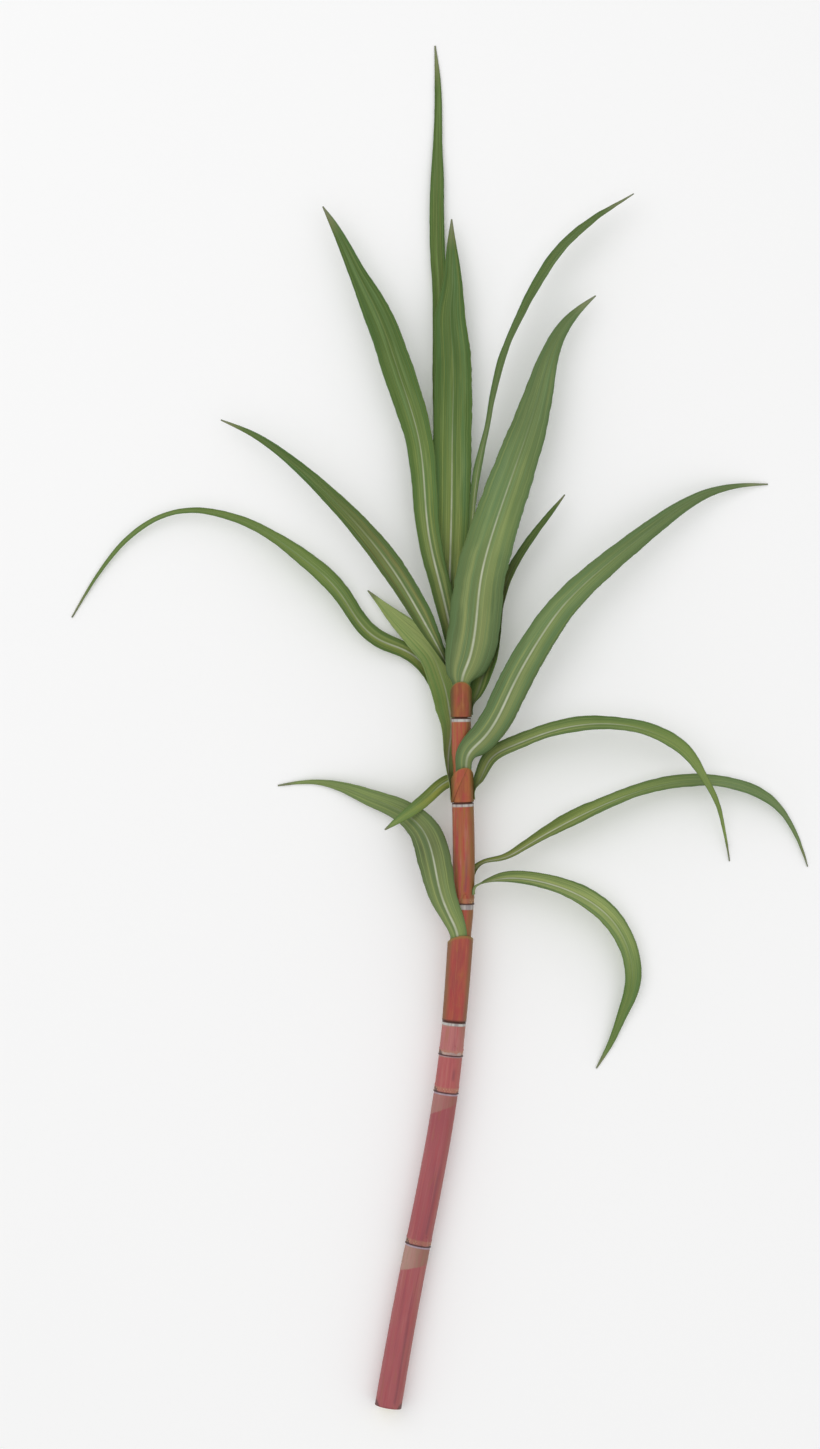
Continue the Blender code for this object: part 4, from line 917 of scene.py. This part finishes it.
run_tree("leaf_teeth", np.concatenate(teeth_points), np.concatenate(teeth_ways),
         spike_tree("leaf teeth", speck_finish("leaf tooth", "93a06c", "6f8048", 0.5)),
         {"Size": TOOTH_LENGTH, "Seed": 5}, smooth=False)

# The heart of the crown: the youngest leaves, still rolled tightly in one another to a point.
# One thin sheet is rolled round itself a little more than twice and drawn out to a tip.
ROLL_TURNS = 2.3
SPINDLE_FOOT, SPINDLE_LENGTH, SPINDLE_RADIUS = 0.0856, 0.1045, 0.0078
ROLL_SIDES, ROLL_ROWS = 96, 60


def make_spindle(finish):
    share = np.linspace(0, 1, ROLL_ROWS)[:, None] * np.ones((1, ROLL_SIDES))
    roll = np.linspace(0, ROLL_TURNS * 2 * math.pi, ROLL_SIDES)[None, :] * np.ones((ROLL_ROWS, 1))
    taper = 1 - 0.76 * share ** 1.1
    inner = 0.45 + 0.55 * roll / roll.max()
    slant = 0.10 * (roll / roll.max()) * ramp(share, 0.75, 1.0)
    radius = SPINDLE_RADIUS * taper * inner - 0.0003
    middle = cane_frames(CANE_TOP_Y)[0][0]
    points = []
    for wall in (0.0, 0.0003):
        x = middle[0] + (radius + wall) * np.cos(roll + share * 2)
        z = middle[2] + (radius + wall) * np.sin(roll + share * 2)
        y = SPINDLE_FOOT + SPINDLE_LENGTH * (share - slant * share)
        points.append(np.stack((x, y, z), axis=-1).reshape(-1, 3))
    faces = closed_sheet(ROLL_ROWS, ROLL_SIDES)
    spread = roll / roll.max() * 2 - 1
    place = np.stack((spread, share * 0.5, share * SPINDLE_LENGTH), axis=-1).reshape(-1, 3)
    named = {"leaf_place": np.tile(place, (2, 1)), "rib_edge": np.full(2 * roll.size, 5.0),
             "under": np.repeat((0.0, 1.0), roll.size)}
    spindle = make_piece("rolled_leaves", np.concatenate(points), faces, named, finish)
    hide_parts("spindle")


make_spindle(leaf_finish("young leaf", PALE, FRESH, FRESH, LIGHT_STREAK, 0.5, seed=60.0))

# The floor, the light and the camera: a plain pale floor, a soft overhead light from the upper left,
# even light all round, and a long lens that looks straight down on the stalk.
FRAME_HEIGHT = 2.101
LENS, SENSOR = 100.0, 36.0
LOOK_AT = (-0.0435, 0.002, 0.030)
FLOOR_REACH, FLOOR_LEVEL = 9.0, -0.0002
# Each lamp: its place, its width and its power in watts
LAMPS = (("key", (-2.2, 2.0, 4.2), 4.2, 36.0), ("fill", (2.6, -1.5, 4.5), 4.5, 13.0))

floor_mesh = bpy.data.meshes.new("floor")
floor_sides = ((-1, -1), (1, -1), (1, 1), (-1, 1))
floor_mesh.from_pydata([(x * FLOOR_REACH, y * FLOOR_REACH, FLOOR_LEVEL) for x, y in floor_sides], [],
                       [(0, 1, 2, 3)])
floor_paint = Recipe("pale floor", Base_Color=dye("ffffff"), Roughness=0.9, Specular_IOR_Level=0.1)
floor_mesh.materials.append(floor_paint.material)
floor = bpy.data.objects.new("floor", floor_mesh)
bpy.context.scene.collection.objects.link(floor)

world = bpy.data.worlds.new("soft light")
world.use_nodes = True
world.node_tree.nodes["Background"].inputs["Color"].default_value = (1.0, 1.0, 1.0, 1.0)
world.node_tree.nodes["Background"].inputs["Strength"].default_value = 0.80
bpy.context.scene.world = world
for name, place, size, watts in LAMPS:
    light = bpy.data.lights.new(name, "AREA")
    light.shape = "DISK"
    light.size = size
    light.energy = watts
    lamp = bpy.data.objects.new(name, light)
    lamp.location = place
    lamp.rotation_euler = (math.acos(place[2] / np.linalg.norm(place)), 0.0, math.atan2(place[0], -place[1]))
    bpy.context.scene.collection.objects.link(lamp)

camera = bpy.data.objects.new("camera", bpy.data.cameras.new("camera"))
camera.data.lens = LENS
camera.data.sensor_width = SENSOR
camera.location = (LOOK_AT[0], LOOK_AT[1], LOOK_AT[2] + FRAME_HEIGHT * LENS / SENSOR)
bpy.context.scene.collection.objects.link(camera)
bpy.context.scene.camera = camera
bpy.context.scene.view_settings.view_transform = "Standard"
